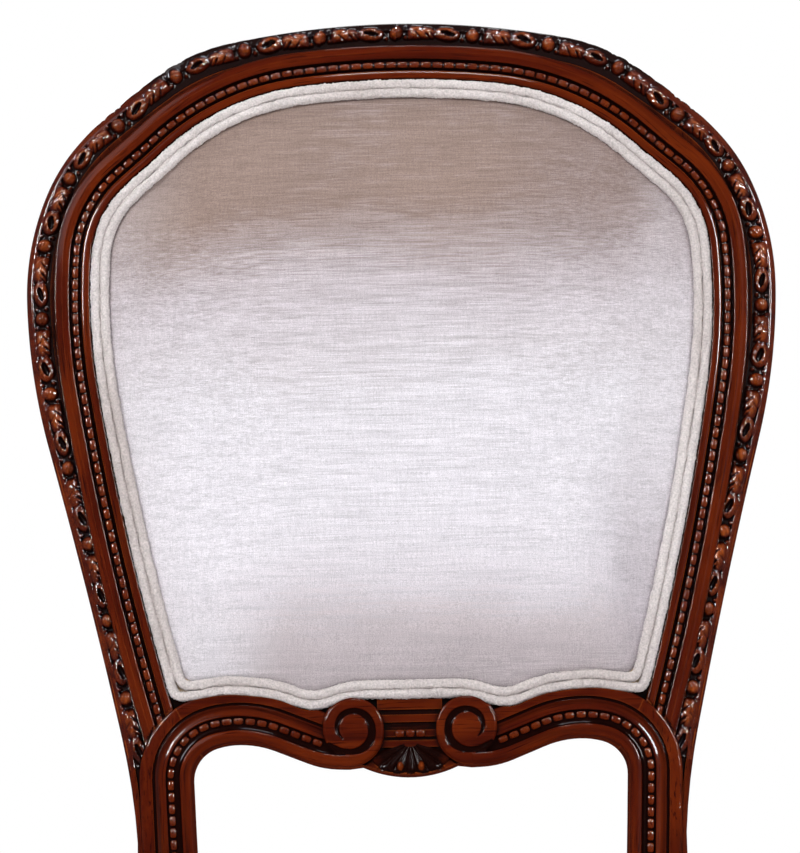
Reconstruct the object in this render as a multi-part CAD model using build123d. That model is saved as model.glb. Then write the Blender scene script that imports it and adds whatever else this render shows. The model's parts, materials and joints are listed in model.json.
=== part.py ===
"""Baroque dining chair: a carved show-wood frame with an upholstered back and seat.

The chair stands on the floor at Z = 0 and faces -Y.  X runs across the seat.
The back frame is drawn flat in its own plane (U across, V up the back, W out of
its front face), then leaned back by BACK_RAKE.  Millimetres and degrees.
"""
import math
import os

from build123d import *

# Overall sizes
OVERALL_HEIGHT = 1030.0
BACK_RAKE = 10.0
RAIL_TOP_Z = 450.0
RAIL_BOTTOM_Z = 386.0
RAIL_THICK = 24.0

# Back frame outlines, right half, as tangent arcs through these points (U, V)
OUTER_OUTLINE = [
    (0, 262), (103, 251.5), (152, 230), (190.5, 200), (223.5, 155),
    (236.5, 85), (222.5, -10), (178, -190), (168.5, -255),
]
SIGHT_OUTLINE = [
    (0, 224.5), (62, 221), (148, 181.5), (172, 160), (195, 114), (191, 28), (149, -162),
]
SIGHT_BOTTOM = [
    (0, -170.3), (30, -170.3), (44, -173), (57, -176.4), (70, -174.2),
    (88, -168.3), (107, -166.2), (125, -167.4), (141, -170),
]
ARCH_EDGE = [
    (131.2, -300), (135, -217), (129.2, -202), (120, -196.5), (106, -194.6),
    (84, -199), (64, -207), (46, -211), (38, -211.3),
]
SIGHT_RUN_OUT = 42.0

# Back frame section
FRAME_THICK = 32.0
SLAB_LEVEL = -10.0
POCKET_FLOOR = -9.0
REAR_POCKET_DEPTH = 4.0
SIGHT_BAND = 5.6
BEAD_WIDTH = 4.6
QUIRK_WIDTH = 1.7
QUIRK_LEVEL = -3.6
DISH_WIDTH = 8.8
DISH_DEPTH = 1.1
RIM_WIDTH = 4.6
RIM_LEVEL = -2.6
RIM_EDGE = -8.5
FRIEZE_REACH = 16.0
FRIEZE_LEVEL = -5.0

# Lower back moulding, measured up from the arch edge
ARCH_BAND = 5.8
ARCH_QUIRK = 2.0
COVE_WIDTH = 9.0
COVE_DEPTH = 4.0
RAIL_BAND = 8.2

# Volutes and shell of the lower back rail
VOLUTE_EYE = (34.9, -188.2)
VOLUTE_OUTLINE = [
    (52, -210.2), (38, -211.3), (16.2, -188.2), (34.9, -169.6), (53.5, -187.5), (45.5, -202.5),
]
VOLUTE_GROOVE = [(60, -203.2), (40, -205.2), (22.5, -190), (34, -176.5), (45.5, -187), (38, -197)]
VOLUTE_LEVEL = 1.5
GROOVE_WIDTH = 3.0
GROOVE_DEPTH = 4.6
CENTRE_HALF = 20.0
CENTRE_TOP = -170.6
CENTRE_STEPS = [(6.4, -1.6), (3.0, -4.6), (4.7, -2.4), (4.7, -6.0), (4.3, -3.0), (2.1, -6.0), (4.3, -2.2)]
SHELL_DROP = -216.8
SHELL_SPREAD = 29.5
SHELL_TOP_V = -198.0
SHELL_LEVEL = -2.6
SHELL_FLUTES = 7
FLUTE_R = 2.6

# Joints
SHOULDER_JOINT = (160.5, 171.0)
SHOULDER_ANGLE = -42.0
SHOULDER_REACH_IN = 46.0
SHOULDER_REACH_OUT = 90.0
CORNER_JOINT = [(134, -150), (146, -170), (129, -203), (129, -232)]
DOWEL_R = 4.0
DOWEL_LENGTH = 44.0
DOWEL_OFFSETS = (8.0, 29.0)
DOWEL_LEVEL = -20.0
JOINT_CLEAR = 0.1
BACK_TENON = (34.0, 18.0, 11.0)
BACK_TENON_AT = (142.0, -186.0, -20.5)
SEAT_TENON_THICK = 10.0
SEAT_TENON_HEIGHT = 38.0
SEAT_TENON_LENGTH = 15.0

# Rear legs below the seat, in side view
LEG_JOIN_V = -300.0
SEAT_ZONE_TOP = 442.0
SEAT_ZONE_BOTTOM = 384.0
POST_FRONT_Y = 1.656
REAR_FOOT_SET_BACK = 62.0
REAR_FOOT_DEPTH = 27.0
REAR_FOOT_OUT = 180.0
REAR_FOOT_WIDTH = 28.0
LEG_EDGE_R = 5.0

# Front legs: height, square side, corner radius, swing out along the diagonal
FRONT_LEG_X = 214.0
FRONT_LEG_Y = -392.0
FRONT_BLOCK = 46.0
CABRIOLE = [
    (388, 45, 6, 0.5), (352, 49, 10, 8), (312, 48, 12, 11), (262, 41, 12, 6), (190, 33, 10, -5),
    (110, 27, 9, -12.5), (58, 26, 9, -8), (30, 31, 10, 3), (12, 37, 13, 11), (0, 37, 14, 12),
]

# Seat
SIDE_RAIL_BOW = 7.0
FRONT_RAIL_BOW = 16.0
APRON_FRONT = [(0, 362), (40, 369), (98, 391), (150, 392), (192, 378)]
APRON_SIDE = [(2, 384), (-95, 395), (-185, 399), (-280, 395), (-370, 380)]
RAIL_LIP = 8.0
BLOCK_SET_BACK = 2.0
REAR_RAIL_Y = (8.0, 31.0)
APRON_BAND = 7.0
APRON_RELIEF = 3.0
CUSHION_INSET = 9.0
CUSHION_TOP = 491.0
CUSHION_SECTIONS = [
    (1.0, 0.0), (1.0, 0.34), (0.99, 0.5), (0.965, 0.66), (0.915, 0.8), (0.82, 0.91), (0.66, 0.975), (0.4, 1.0),
]
COVER_THICK = 2.0
CUSHION_REAR_Y = -1.0
CUSHION_TONGUE = (127.0, 29.0)
CUSHION_CORNER = 20.0
CUSHION_CENTRE_Y = -190.0

# Upholstery of the back
WELT_R = 2.6
BOARD_THICK = 5.0
BOARD_SHARE = 0.99
PAD_CENTRE_V = 20.0
PAD_SHARE = 0.925
PAD_CROWN = 15.0
PAD_SECTIONS = [
    (1.0, 0.0), (1.0, 0.2), (0.985, 0.38), (0.95, 0.58), (0.89, 0.76), (0.79, 0.9), (0.63, 0.975), (0.4, 1.0),
]
PAD_COVER = 1.6
WELT_PITCH = 1.96
WELT_CLEAR = 0.2
WELT_SIDE_SHARE = 0.972
WELT_LOW_SHARE = 0.5
TONGUE_SHARE = 0.935
REAR_PANEL = 2.4
REAR_FABRIC = 1.2

# Seat platform
STRAP_WIDTH = 50.0
STRAP_THICK = 1.4
STRAP_STOCK = 600.0
STRAP_ACROSS_Y = (-348.0, -262.0, -176.0, -90.0)
STRAP_ALONG_X = (-93.0, -31.0, 31.0, 93.0)
HESSIAN_THICK = 0.8
DUST_COVER_THICK = 0.8
DUST_COVER_Z = 402.0

# Hardware
FRONT_BLOCK_CORNER = (11.0, -14.0)
FRONT_BLOCK_LEGS = (93.0, 114.0)
REAR_BLOCK_CORNER = (28.8, 10.344)
REAR_BLOCK_LEGS = (82.0, 74.0)
BLOCK_HEIGHT = 40.0
BLOCK_TOP_Z = 446.0
SCREW_R = 2.2
SCREW_LENGTH = 38.0
SCREW_HEAD_R = 4.2
SCREW_HEAD = 2.6
FRONT_SCREW_REACH = 20.0
REAR_SCREW_REACH = 24.0
GLIDE_R = 9.0
GLIDE_HEIGHT = 4.0
GLIDE_PIN = 12.0
GLIDE_PIN_R = 2.0

# Worked-out values of the back frame
ARCH_MOULD_WIDTH = ARCH_BAND + 2 * ARCH_QUIRK + BEAD_WIDTH + COVE_WIDTH + RAIL_BAND
FRAME_REAR = -FRAME_THICK
MOULD_SIDE = (OUTER_OUTLINE[-1][0], SIGHT_BOTTOM[-1][1])
rake = math.radians(BACK_RAKE)
BACK_Z0 = OVERALL_HEIGHT - OUTER_OUTLINE[0][1] * math.cos(rake)
JOIN_ABOVE_SEAT = BACK_Z0 + LEG_JOIN_V * math.cos(rake) - SEAT_ZONE_TOP
BACK_Y0 = POST_FRONT_Y - LEG_JOIN_V * math.sin(rake) + JOIN_ABOVE_SEAT * math.tan(rake / 2)
BACK_PLANE = Plane(
    origin=(0, BACK_Y0, BACK_Z0), x_dir=(1, 0, 0), z_dir=(0, -math.cos(rake), math.sin(rake))
)


# Drawing helpers
def tangent_chain(points, direction):
    """Arcs through the points, each leaving along the end tangent of the last."""
    edges = []
    for start, end in zip(points, points[1:]):
        along = Vector(*end) - Vector(*start)
        straight = along.normalized().cross(Vector(*direction).normalized()).length < 1e-6
        edge = Line(start, end) if straight else TangentArc(start, end, tangent=direction)
        direction = tuple(edge % 1)
        edges.append(edge)
    return edges


def mirrored(shape):
    """The left-hand copy of a right-hand shape."""
    return shape.mirror(Plane.YZ)


def slab(face, low, high):
    """The face pushed up from level low to level high."""
    return extrude(Pos(0, 0, low) * face, high - low)


def swept(section, path, toward):
    """A section drawn in (across, W) carried along a path in the plane of the back.

    The across direction of the section points to the side where the point toward lies.
    """
    start, tangent = path @ 0, path % 0
    across = Vector(tangent.Y, -tangent.X, 0)
    sign = 1 if across.dot(Vector(*toward) - start) > 0 else -1
    place = Plane(origin=start, x_dir=across * sign, z_dir=tangent * -sign)
    return sweep(place * section, path=path)


def closed_face(*edges):
    return make_face(Wire(list(edges)))


# Outlines of the back frame
outer_half = tangent_chain(OUTER_OUTLINE, (1, 0))
sight_half = tangent_chain(SIGHT_OUTLINE, (1, 0))
bottom_half = tangent_chain(SIGHT_BOTTOM, (1, 0))
arch_half = tangent_chain(ARCH_EDGE, (0.055, 1))


def outer_face():
    """Everything inside the outer outline, down to where the legs take over."""
    foot = OUTER_OUTLINE[-1]
    leg_foot = (foot[0], LEG_JOIN_V)
    right = outer_half + [Line(foot, leg_foot), Line(leg_foot, (0, LEG_JOIN_V))]
    return closed_face(*right, *[mirrored(edge) for edge in right])


def sight_face():
    """The opening in which the upholstery of the back shows."""
    right = sight_half + [Line(SIGHT_OUTLINE[-1], SIGHT_BOTTOM[-1])] + bottom_half
    return closed_face(*right, *[mirrored(edge) for edge in right])


def arch_face():
    """The open arch below the lower back rail, shell edge included."""
    end = ARCH_EDGE[-1]
    low = (0, LEG_JOIN_V - 1)
    start = (ARCH_EDGE[0][0], LEG_JOIN_V - 1)
    shell_edge = ThreePointArc(
        (-SHELL_SPREAD, end[1] + 1), (0, SHELL_DROP), (SHELL_SPREAD, end[1] + 1)
    )
    right = [Line(start, ARCH_EDGE[0])] + arch_half + [Line(end, (SHELL_SPREAD, end[1] + 1)), Line(low, start)]
    return closed_face(shell_edge, *right, *[mirrored(edge) for edge in right])


def sight_section():
    """Flat sight band, bead string between quirks, and a dished outer band."""
    depth = SLAB_LEVEL - 1
    bead_start = SIGHT_BAND + QUIRK_WIDTH
    bead_end = bead_start + BEAD_WIDTH
    dish_start = bead_end + QUIRK_WIDTH
    dish_end = dish_start + DISH_WIDTH
    top = -0.4
    edges = [
        Line((0, depth), (0, top - 1.2)),
        RadiusArc((0, top - 1.2), (1.2, top), 1.2),
        Line((1.2, top), (SIGHT_BAND, top)),
        Line((SIGHT_BAND, top), (SIGHT_BAND + 0.4, QUIRK_LEVEL)),
        Line((SIGHT_BAND + 0.4, QUIRK_LEVEL), (bead_start, QUIRK_LEVEL)),
        ThreePointArc((bead_start, QUIRK_LEVEL), ((bead_start + bead_end) / 2, QUIRK_LEVEL + 1.8), (bead_end, QUIRK_LEVEL)),
        Line((bead_end, QUIRK_LEVEL), (dish_start - 0.4, QUIRK_LEVEL)),
        Line((dish_start - 0.4, QUIRK_LEVEL), (dish_start, 0)),
        ThreePointArc((dish_start, 0), ((dish_start + dish_end) / 2, -DISH_DEPTH), (dish_end, 0)),
        Line((dish_end, 0), (dish_end + 0.6, QUIRK_LEVEL)),
        Line((dish_end + 0.6, QUIRK_LEVEL), (dish_end + 0.6, depth)),
        Line((dish_end + 0.6, depth), (0, depth)),
    ]
    return closed_face(*edges)


def rim_section():
    """Plain outer rim, and the sunk frieze inside it that carries the leaf carving."""
    depth = SLAB_LEVEL - 1
    reach = RIM_WIDTH + FRIEZE_REACH
    shoulder = RIM_WIDTH * 0.72
    edges = [
        Line((0, depth), (0, RIM_EDGE)),
        ThreePointArc((0, RIM_EDGE), (RIM_WIDTH * 0.25, (RIM_EDGE + 2 * RIM_LEVEL) / 3), (shoulder, RIM_LEVEL)),
        Line((shoulder, RIM_LEVEL), (RIM_WIDTH, RIM_LEVEL)),
        Line((RIM_WIDTH, RIM_LEVEL), (RIM_WIDTH + 0.4, FRIEZE_LEVEL)),
        Line((RIM_WIDTH + 0.4, FRIEZE_LEVEL), (reach, FRIEZE_LEVEL)),
        Line((reach, FRIEZE_LEVEL), (reach, depth)),
        Line((reach, depth), (0, depth)),
    ]
    return closed_face(*edges)


def arch_section():
    """Moulding of the lower rail and leg: band, bead string, deep cove and outer band."""
    depth = SLAB_LEVEL - 1
    bead_start = ARCH_BAND + ARCH_QUIRK
    bead_end = bead_start + BEAD_WIDTH
    cove_start = bead_end + ARCH_QUIRK
    cove_end = cove_start + COVE_WIDTH
    end = cove_end + RAIL_BAND
    level = 0.6
    edges = [
        Line((0, depth), (0, level - 1.2)),
        RadiusArc((0, level - 1.2), (1.2, level), 1.2),
        Line((1.2, level), (ARCH_BAND, level)),
        Line((ARCH_BAND, level), (ARCH_BAND + 0.5, QUIRK_LEVEL)),
        Line((ARCH_BAND + 0.5, QUIRK_LEVEL), (bead_start, QUIRK_LEVEL)),
        ThreePointArc((bead_start, QUIRK_LEVEL), ((bead_start + bead_end) / 2, QUIRK_LEVEL + 1.8), (bead_end, QUIRK_LEVEL)),
        Line((bead_end, QUIRK_LEVEL), (cove_start, QUIRK_LEVEL)),
        ThreePointArc((cove_start, QUIRK_LEVEL), ((cove_start + cove_end) / 2, -COVE_DEPTH + 0.6), (cove_end, -0.8)),
        Line((cove_end, -0.8), (cove_end + 0.4, level)),
        Line((cove_end + 0.4, level), (end - 1.6, level)),
        RadiusArc((end - 1.6, level), (end, level - 1.6), 1.6),
        Line((end, level - 1.6), (end, depth)),
        Line((end, depth), (0, depth)),
    ]
    return closed_face(*edges)


# Paths of the mouldings, each from the left foot over the top to the right foot
def over_the_top(half, foot):
    """A right half that starts on the centre line, its run-out to foot, and both mirrored."""
    right = [*half, Line(half[-1] @ 1, foot)]
    return Wire([mirrored(edge) for edge in reversed(right)] + right)


def sight_path():
    """The sight edge, run on at its foot so that it dies under the lower moulding."""
    return over_the_top(sight_half, sight_half[-1] @ 1 + (sight_half[-1] % 1) * SIGHT_RUN_OUT)


def outer_path():
    return over_the_top(outer_half, Vector(OUTER_OUTLINE[-1][0], LEG_JOIN_V))


def bottom_path():
    """The lower sight edge, left to right, run on a little past both corners."""
    onward = Line(bottom_half[-1] @ 1, (bottom_half[-1] @ 1) + (bottom_half[-1] % 1) * SIGHT_RUN_OUT / 2)
    right = [*bottom_half, onward]
    return Wire([mirrored(edge) for edge in reversed(right)] + right)


def footprint():
    """The ground taken up by the lower moulding, cut clear of the other mouldings."""
    width = ARCH_MOULD_WIDTH
    section = Pos(width / 2 - 4, 0) * Rectangle(width + 8, -2 * SLAB_LEVEL)
    right = swept(section, Wire(arch_half), MOULD_SIDE)
    return right + mirrored(right)


# Ornament of the lower back rail
def volute():
    """Right-hand scroll: a raised disc with a spiral groove running in to its eye."""
    outline = tangent_chain(VOLUTE_OUTLINE, (-1, -0.09))
    outline.append(Line(VOLUTE_OUTLINE[-1], VOLUTE_OUTLINE[0]))
    disc = slab(closed_face(*outline), SLAB_LEVEL - 1, VOLUTE_LEVEL)
    top = disc.faces().sort_by(Axis.Z)[-1]
    disc = fillet(top.edges(), 0.9)
    groove = tangent_chain(VOLUTE_GROOVE, (-1, -0.13))
    section = Pos(0, VOLUTE_LEVEL) * Rectangle(GROOVE_WIDTH, 2 * GROOVE_DEPTH)
    return disc, swept(section, Wire(groove), VOLUTE_EYE)


def centre_block():
    """Stepped horizontal moulding between the scrolls."""
    points = [(CENTRE_TOP, SLAB_LEVEL - 1)]
    height = CENTRE_TOP
    for step, level in CENTRE_STEPS:
        points += [(height, level), (height - step, level)]
        height -= step
    points.append((height, SLAB_LEVEL - 1))
    return extrude(Plane.YZ * make_face(Polyline(*points, close=True)), CENTRE_HALF, both=True)


def shell():
    """Fluted half-round shell that hangs below the centre block."""
    low = ARCH_EDGE[-1][1] + 1
    arc = ThreePointArc((-SHELL_SPREAD, low), (0, SHELL_DROP), (SHELL_SPREAD, low))
    sides = Polyline((SHELL_SPREAD, low), (CENTRE_HALF, SHELL_TOP_V), (-CENTRE_HALF, SHELL_TOP_V), (-SHELL_SPREAD, low))
    body = slab(closed_face(arc, *sides.edges()), SLAB_LEVEL - 1, SHELL_LEVEL)
    for number in range(SHELL_FLUTES):
        turn = (number - (SHELL_FLUTES - 1) / 2) * 19.0
        flute = Cylinder(FLUTE_R, 40, rotation=(90, 0, 0))
        place = Pos(0, SHELL_TOP_V + 8, SHELL_LEVEL + 1.1) * Rot(0, 0, turn) * Pos(0, -26, 0)
        body -= place * flute
    return body


# The back frame in its own plane
def back_frame():
    """The whole moulded back as one board, before it is divided at its joints."""
    sight = sight_face()
    board = slab(outer_face(), FRAME_REAR, SLAB_LEVEL) - slab(arch_face(), FRAME_REAR - 1, 8)
    sight_run, outer_run = sight_path(), outer_path()
    upper = swept(sight_section(), sight_run, sight_run @ 0 * 10)
    upper += swept(rim_section(), outer_run, (0, LEG_JOIN_V))
    upper -= footprint()
    right = swept(arch_section(), Wire(arch_half), MOULD_SIDE)
    disc, groove = volute()
    body = board + upper + right + mirrored(right)
    body += [disc, mirrored(disc), centre_block(), shell()]
    body -= [groove, mirrored(groove)]
    body -= slab(sight, POCKET_FLOOR, 12)
    body -= slab(sight, FRAME_REAR - 1, FRAME_REAR + REAR_POCKET_DEPTH)
    body -= slab(scaled_sight(TONGUE_SHARE), FRAME_REAR - 1, 12)
    return body


def scaled_sight(share):
    """The sight opening drawn smaller about the middle of the pad."""
    centre = Pos(0, PAD_CENTRE_V)
    return centre * scale(Pos(0, -PAD_CENTRE_V) * sight_face(), by=(share, share, 1))


def prism(points):
    return slab(make_face(Polyline(*points, close=True)), FRAME_REAR - 2, 14)


def crest_zone():
    """Ground of the crest: above a slanting joint line at each shoulder."""
    angle = math.radians(SHOULDER_ANGLE)
    line = Vector(-math.sin(angle), math.cos(angle))
    inner = Vector(*SHOULDER_JOINT) - line * SHOULDER_REACH_IN
    outer = Vector(*SHOULDER_JOINT) + line * SHOULDER_REACH_OUT
    right = [(inner.X, inner.Y), (outer.X, outer.Y), (outer.X, 300)]
    return prism(right + [(-x, y) for x, y in reversed(right)])


def rail_zone():
    """Ground of the lower rail: between the slanting joint lines at its ends."""
    return prism(CORNER_JOINT + [(-x, y) for x, y in reversed(CORNER_JOINT)])


def shoulder_dowels(radius, length):
    """Two dowels square to each shoulder joint, right side."""
    angle = math.radians(SHOULDER_ANGLE)
    line = Vector(-math.sin(angle), math.cos(angle))
    pins = []
    for offset in DOWEL_OFFSETS:
        middle = Vector(*SHOULDER_JOINT) + line * offset
        pin = Rot(0, 0, SHOULDER_ANGLE) * Cylinder(radius, length, rotation=(0, 90, 0))
        pins.append(Pos(middle.X, middle.Y, DOWEL_LEVEL) * pin)
    return pins


def back_tenon(clear):
    width, height, thick = BACK_TENON
    return Pos(*BACK_TENON_AT) * Box(width + 2 * clear, height + 2 * clear, thick + 2 * clear)


# Rear leg below the back frame, right side
def at_back(v, w):
    """World (Y, Z) of a point on the back plane's middle line."""
    point = BACK_PLANE.from_local_coords(Vector(0, v, w))
    return point.Y, point.Z


def knee(top):
    """Where a line of the leg, leaving the back plane at top, has turned upright."""
    return top[0] - (top[1] - SEAT_ZONE_TOP) * math.tan(rake / 2), SEAT_ZONE_TOP


def rear_leg():
    front_top = at_back(LEG_JOIN_V, 0)
    rear_top = at_back(LEG_JOIN_V, FRAME_REAR)
    down = (-math.sin(rake), -math.cos(rake))
    front_knee, rear_knee = knee(front_top), knee(rear_top)
    front_hip = (front_knee[0], SEAT_ZONE_BOTTOM)
    rear_hip = (rear_knee[0], SEAT_ZONE_BOTTOM)
    front_foot = (REAR_FOOT_SET_BACK, GLIDE_HEIGHT)
    rear_foot = (REAR_FOOT_SET_BACK + REAR_FOOT_DEPTH, GLIDE_HEIGHT)
    side = [
        TangentArc(front_top, front_knee, tangent=down),
        Line(front_knee, front_hip),
        TangentArc(front_hip, front_foot, tangent=(0, -1)),
        Line(front_foot, rear_foot),
        TangentArc(rear_hip, rear_foot, tangent=(0, -1)),
        Line(rear_hip, rear_knee),
        TangentArc(rear_top, rear_knee, tangent=down),
        Line(rear_top, front_top),
    ]
    outer = OUTER_OUTLINE[-1][0]
    inner = ARCH_EDGE[0][0]
    top = front_top[1] + 20
    foot_out = (REAR_FOOT_OUT, GLIDE_HEIGHT)
    foot_in = (REAR_FOOT_OUT - REAR_FOOT_WIDTH, GLIDE_HEIGHT)
    front = [
        Line((inner, top), (outer, top)),
        Line((outer, top), (outer, SEAT_ZONE_BOTTOM)),
        TangentArc((outer, SEAT_ZONE_BOTTOM), foot_out, tangent=(0, -1)),
        Line(foot_out, foot_in),
        TangentArc((inner, SEAT_ZONE_BOTTOM), foot_in, tangent=(0, -1)),
        Line((inner, SEAT_ZONE_BOTTOM), (inner, top)),
    ]
    leg = extrude(Plane.YZ * closed_face(*side), 300) & extrude(Plane.XZ * closed_face(*front), 300, both=True)
    return leg


def rounded_below(leg, level):
    """The leg with its long edges eased from the given level down."""
    lower = split(leg, bisect_by=Plane.XY.offset(level), keep=Keep.BOTTOM)
    upper = split(leg, bisect_by=Plane.XY.offset(level), keep=Keep.TOP)
    long_edges = [e for e in lower.edges() if e.bounding_box().size.Z > 100]
    return upper + fillet(long_edges, LEG_EDGE_R)


# Front legs
def front_leg():
    """Right cabriole leg under a square corner block."""
    sections = []
    for height, side, corner, swing in CABRIOLE:
        shift = swing * math.sqrt(0.5)
        height = max(height, GLIDE_HEIGHT)
        sections.append(Pos(FRONT_LEG_X + shift, FRONT_LEG_Y - shift, height) * RectangleRounded(side, side, corner))
    block_height = RAIL_TOP_Z - CABRIOLE[0][0] + 4
    block = Pos(FRONT_LEG_X, FRONT_LEG_Y, RAIL_TOP_Z - block_height / 2) * Box(FRONT_BLOCK, FRONT_BLOCK, block_height)
    block = fillet(block.edges().filter_by(Axis.Z).sort_by(Axis.X)[-2:].sort_by(Axis.Y)[:1], 8)
    return loft(sections) + block


# Seat rails
def apron_faces(curve, plane):
    """Side view of a rail, of the fillet along its lower edge and of the lip along its top."""
    start, end = curve @ 0, curve @ 1
    body = closed_face(
        curve, Line(end, (end.X, RAIL_TOP_Z)), Line((end.X, RAIL_TOP_Z), (start.X, RAIL_TOP_Z)),
        Line((start.X, RAIL_TOP_Z), start),
    )
    raised = Pos(0, APRON_BAND) * curve
    band = closed_face(curve, Line(end, raised @ 1), raised, Line(raised @ 0, start))
    lip = Pos((start.X + end.X) / 2, RAIL_TOP_Z - RAIL_LIP / 2) * Rectangle(abs(end.X - start.X), RAIL_LIP)
    return [plane * face for face in (body, band, lip)]


def side_plan(relief):
    """Plan of the right side rail: bowed outer and inner faces, moved out by the relief."""
    front_y = FRONT_LEG_Y + FRONT_BLOCK / 2
    rear_y = knee(at_back(LEG_JOIN_V, 0))[0]
    front_x = FRONT_LEG_X + FRONT_BLOCK / 2 - BLOCK_SET_BACK
    rear_x = OUTER_OUTLINE[-1][0] - BLOCK_SET_BACK
    middle = ((front_x + rear_x) / 2 + SIDE_RAIL_BOW, (front_y + rear_y) / 2)
    outer = ThreePointArc((rear_x, rear_y), middle, (front_x, front_y))
    inner = Pos(-RAIL_THICK, 0) * outer
    face = closed_face(outer, Line(outer @ 1, inner @ 1), inner, Line(inner @ 0, outer @ 0))
    return Pos(relief, 0, 0) * face


def front_plan(relief):
    end_x = FRONT_LEG_X - FRONT_BLOCK / 2
    end_y = FRONT_LEG_Y - FRONT_BLOCK / 2 + BLOCK_SET_BACK
    outer = ThreePointArc((-end_x, end_y), (0, end_y - FRONT_RAIL_BOW), (end_x, end_y))
    inner = Pos(0, RAIL_THICK) * outer
    face = closed_face(outer, Line(outer @ 1, inner @ 1), inner, Line(inner @ 0, outer @ 0))
    return Pos(0, -relief, 0) * face


def rail_from(plan, faces):
    """A rail cut to its side view, with the raised fillet and lip on its outer face."""
    body, band, lip = faces
    tall = Pos(0, 0, 300) * plan(0)
    proud = Pos(0, 0, 300) * plan(APRON_RELIEF)
    rail = extrude(tall, 200) & extrude(body, 600, both=True)
    relief = extrude(proud, 200) & (extrude(band, 600, both=True) + extrude(lip, 600, both=True))
    return rail + relief


def side_rail():
    curve = Spline(APRON_SIDE)
    return rail_from(side_plan, apron_faces(curve, Plane.YZ))


def front_rail():
    points = [(-x, z) for x, z in reversed(APRON_FRONT[1:])] + APRON_FRONT
    curve = Spline(points)
    return rail_from(front_plan, apron_faces(curve, Plane.XZ))


def rear_rail():
    inner = ARCH_EDGE[0][0]
    low, high = REAR_RAIL_Y
    size = (2 * inner - 2 * JOINT_CLEAR, high - low, RAIL_TOP_Z - RAIL_BOTTOM_Z)
    return Pos(0, (low + high) / 2, (RAIL_TOP_Z + RAIL_BOTTOM_Z) / 2) * Box(*size)


def tenon(x, y, across_x, clear):
    """A seat-rail tenon centred at (x, y); it runs along X or along Y."""
    length = 2 * SEAT_TENON_LENGTH + 2 * clear
    thick = SEAT_TENON_THICK + 2 * clear
    size = (length, thick) if across_x else (thick, length)
    middle = (RAIL_TOP_Z + RAIL_BOTTOM_Z) / 2 + 4
    return Pos(x, y, middle) * Box(*size, SEAT_TENON_HEIGHT + 2 * clear)


# Seat upholstery
def cushion_half(inset):
    """Plan of the seat upholstery, right half, from the centre back round to the centre front."""
    grow = CUSHION_INSET - inset
    tongue_x, tongue_y = [size + grow for size in CUSHION_TONGUE]
    rear_y = CUSHION_REAR_Y + min(grow, 0)
    rear_x = OUTER_OUTLINE[-1][0] - BLOCK_SET_BACK - inset
    corner_x = FRONT_LEG_X + FRONT_BLOCK / 2 - inset
    corner_y = FRONT_LEG_Y - FRONT_BLOCK / 2 + inset
    side_end = (corner_x - 3, corner_y + CUSHION_CORNER)
    middle = ((rear_x + side_end[0]) / 2 + SIDE_RAIL_BOW, (rear_y + side_end[1]) / 2)
    side = ThreePointArc((rear_x, rear_y), middle, side_end)
    front = ThreePointArc(
        (-corner_x + CUSHION_CORNER, corner_y), (0, corner_y - FRONT_RAIL_BOW + 2), (corner_x - CUSHION_CORNER, corner_y)
    )
    half_front = ThreePointArc(front @ 1, front @ 0.75, front @ 0.5)
    corner = TangentArc(side_end, front @ 1, tangent=side % 1)
    back = Polyline((0, tongue_y), (tongue_x, tongue_y), (tongue_x, rear_y), (rear_x, rear_y)).edges()
    return list(back), [side, corner, half_front]


def cushion_face(inset):
    back, round_edges = cushion_half(inset)
    right = back + round_edges
    return closed_face(*right, *[mirrored(edge) for edge in right])


def domed(face, sections, centre, base, top):
    """A loft through smaller and smaller copies of a face, for a stuffed form."""
    rings = []
    for share, rise in sections:
        ring = scale(Pos(-centre[0], -centre[1]) * face, by=(share, share, 1))
        rings.append(Pos(centre[0], centre[1], base + rise * (top - base)) * ring)
    return loft(rings, ruled=True)


def seat_form(inset, base, top):
    return domed(cushion_face(inset), CUSHION_SECTIONS, (0, CUSHION_CENTRE_Y), base, top)


def welt_section(across):
    """Two cords side by side: stacked upright, or lying across."""
    step = WELT_R * WELT_PITCH
    if across:
        return Circle(WELT_R) + Pos(step, 0) * Circle(WELT_R)
    return Circle(WELT_R) + Pos(0, step) * Circle(WELT_R)


def seat_welt():
    """Double welt round the foot of the seat upholstery, from post to post."""
    back, round_edges = cushion_half(CUSHION_INSET - WELT_R - 0.4)
    path = Wire([mirrored(edge) for edge in round_edges] + [edge for edge in reversed(round_edges)])
    start = path @ 0
    tangent = path % 0
    outward = Vector(tangent.Y, -tangent.X, 0)
    section = Pos(0, WELT_R) * welt_section(False)
    return Pos(0, 0, RAIL_TOP_Z) * sweep(Plane(origin=start, x_dir=outward, z_dir=tangent * -1) * section, path=path)


# Back upholstery, in the plane of the back
def beside(points, heading, distance, last_share):
    """Points to the left of a tangent chain, its last arc cut short, and the heading at its end."""
    turn = math.atan2(heading[1], heading[0])
    moved = []
    last = len(points) - 2
    for number, (start, end) in enumerate(zip(points, points[1:])):
        moved.append((start[0] - distance * math.sin(turn), start[1] + distance * math.cos(turn)))
        bend = math.remainder(math.atan2(end[1] - start[1], end[0] - start[0]) - turn, math.tau)
        if number == last:
            chord = math.dist(start, end) * math.sin(bend * last_share) / math.sin(bend)
            bend *= last_share
            end = (start[0] + chord * math.cos(turn + bend), start[1] + chord * math.sin(turn + bend))
        turn += 2 * bend
    moved.append((end[0] - distance * math.sin(turn), end[1] + distance * math.cos(turn)))
    return moved, Vector(math.cos(turn), math.sin(turn))


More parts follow.
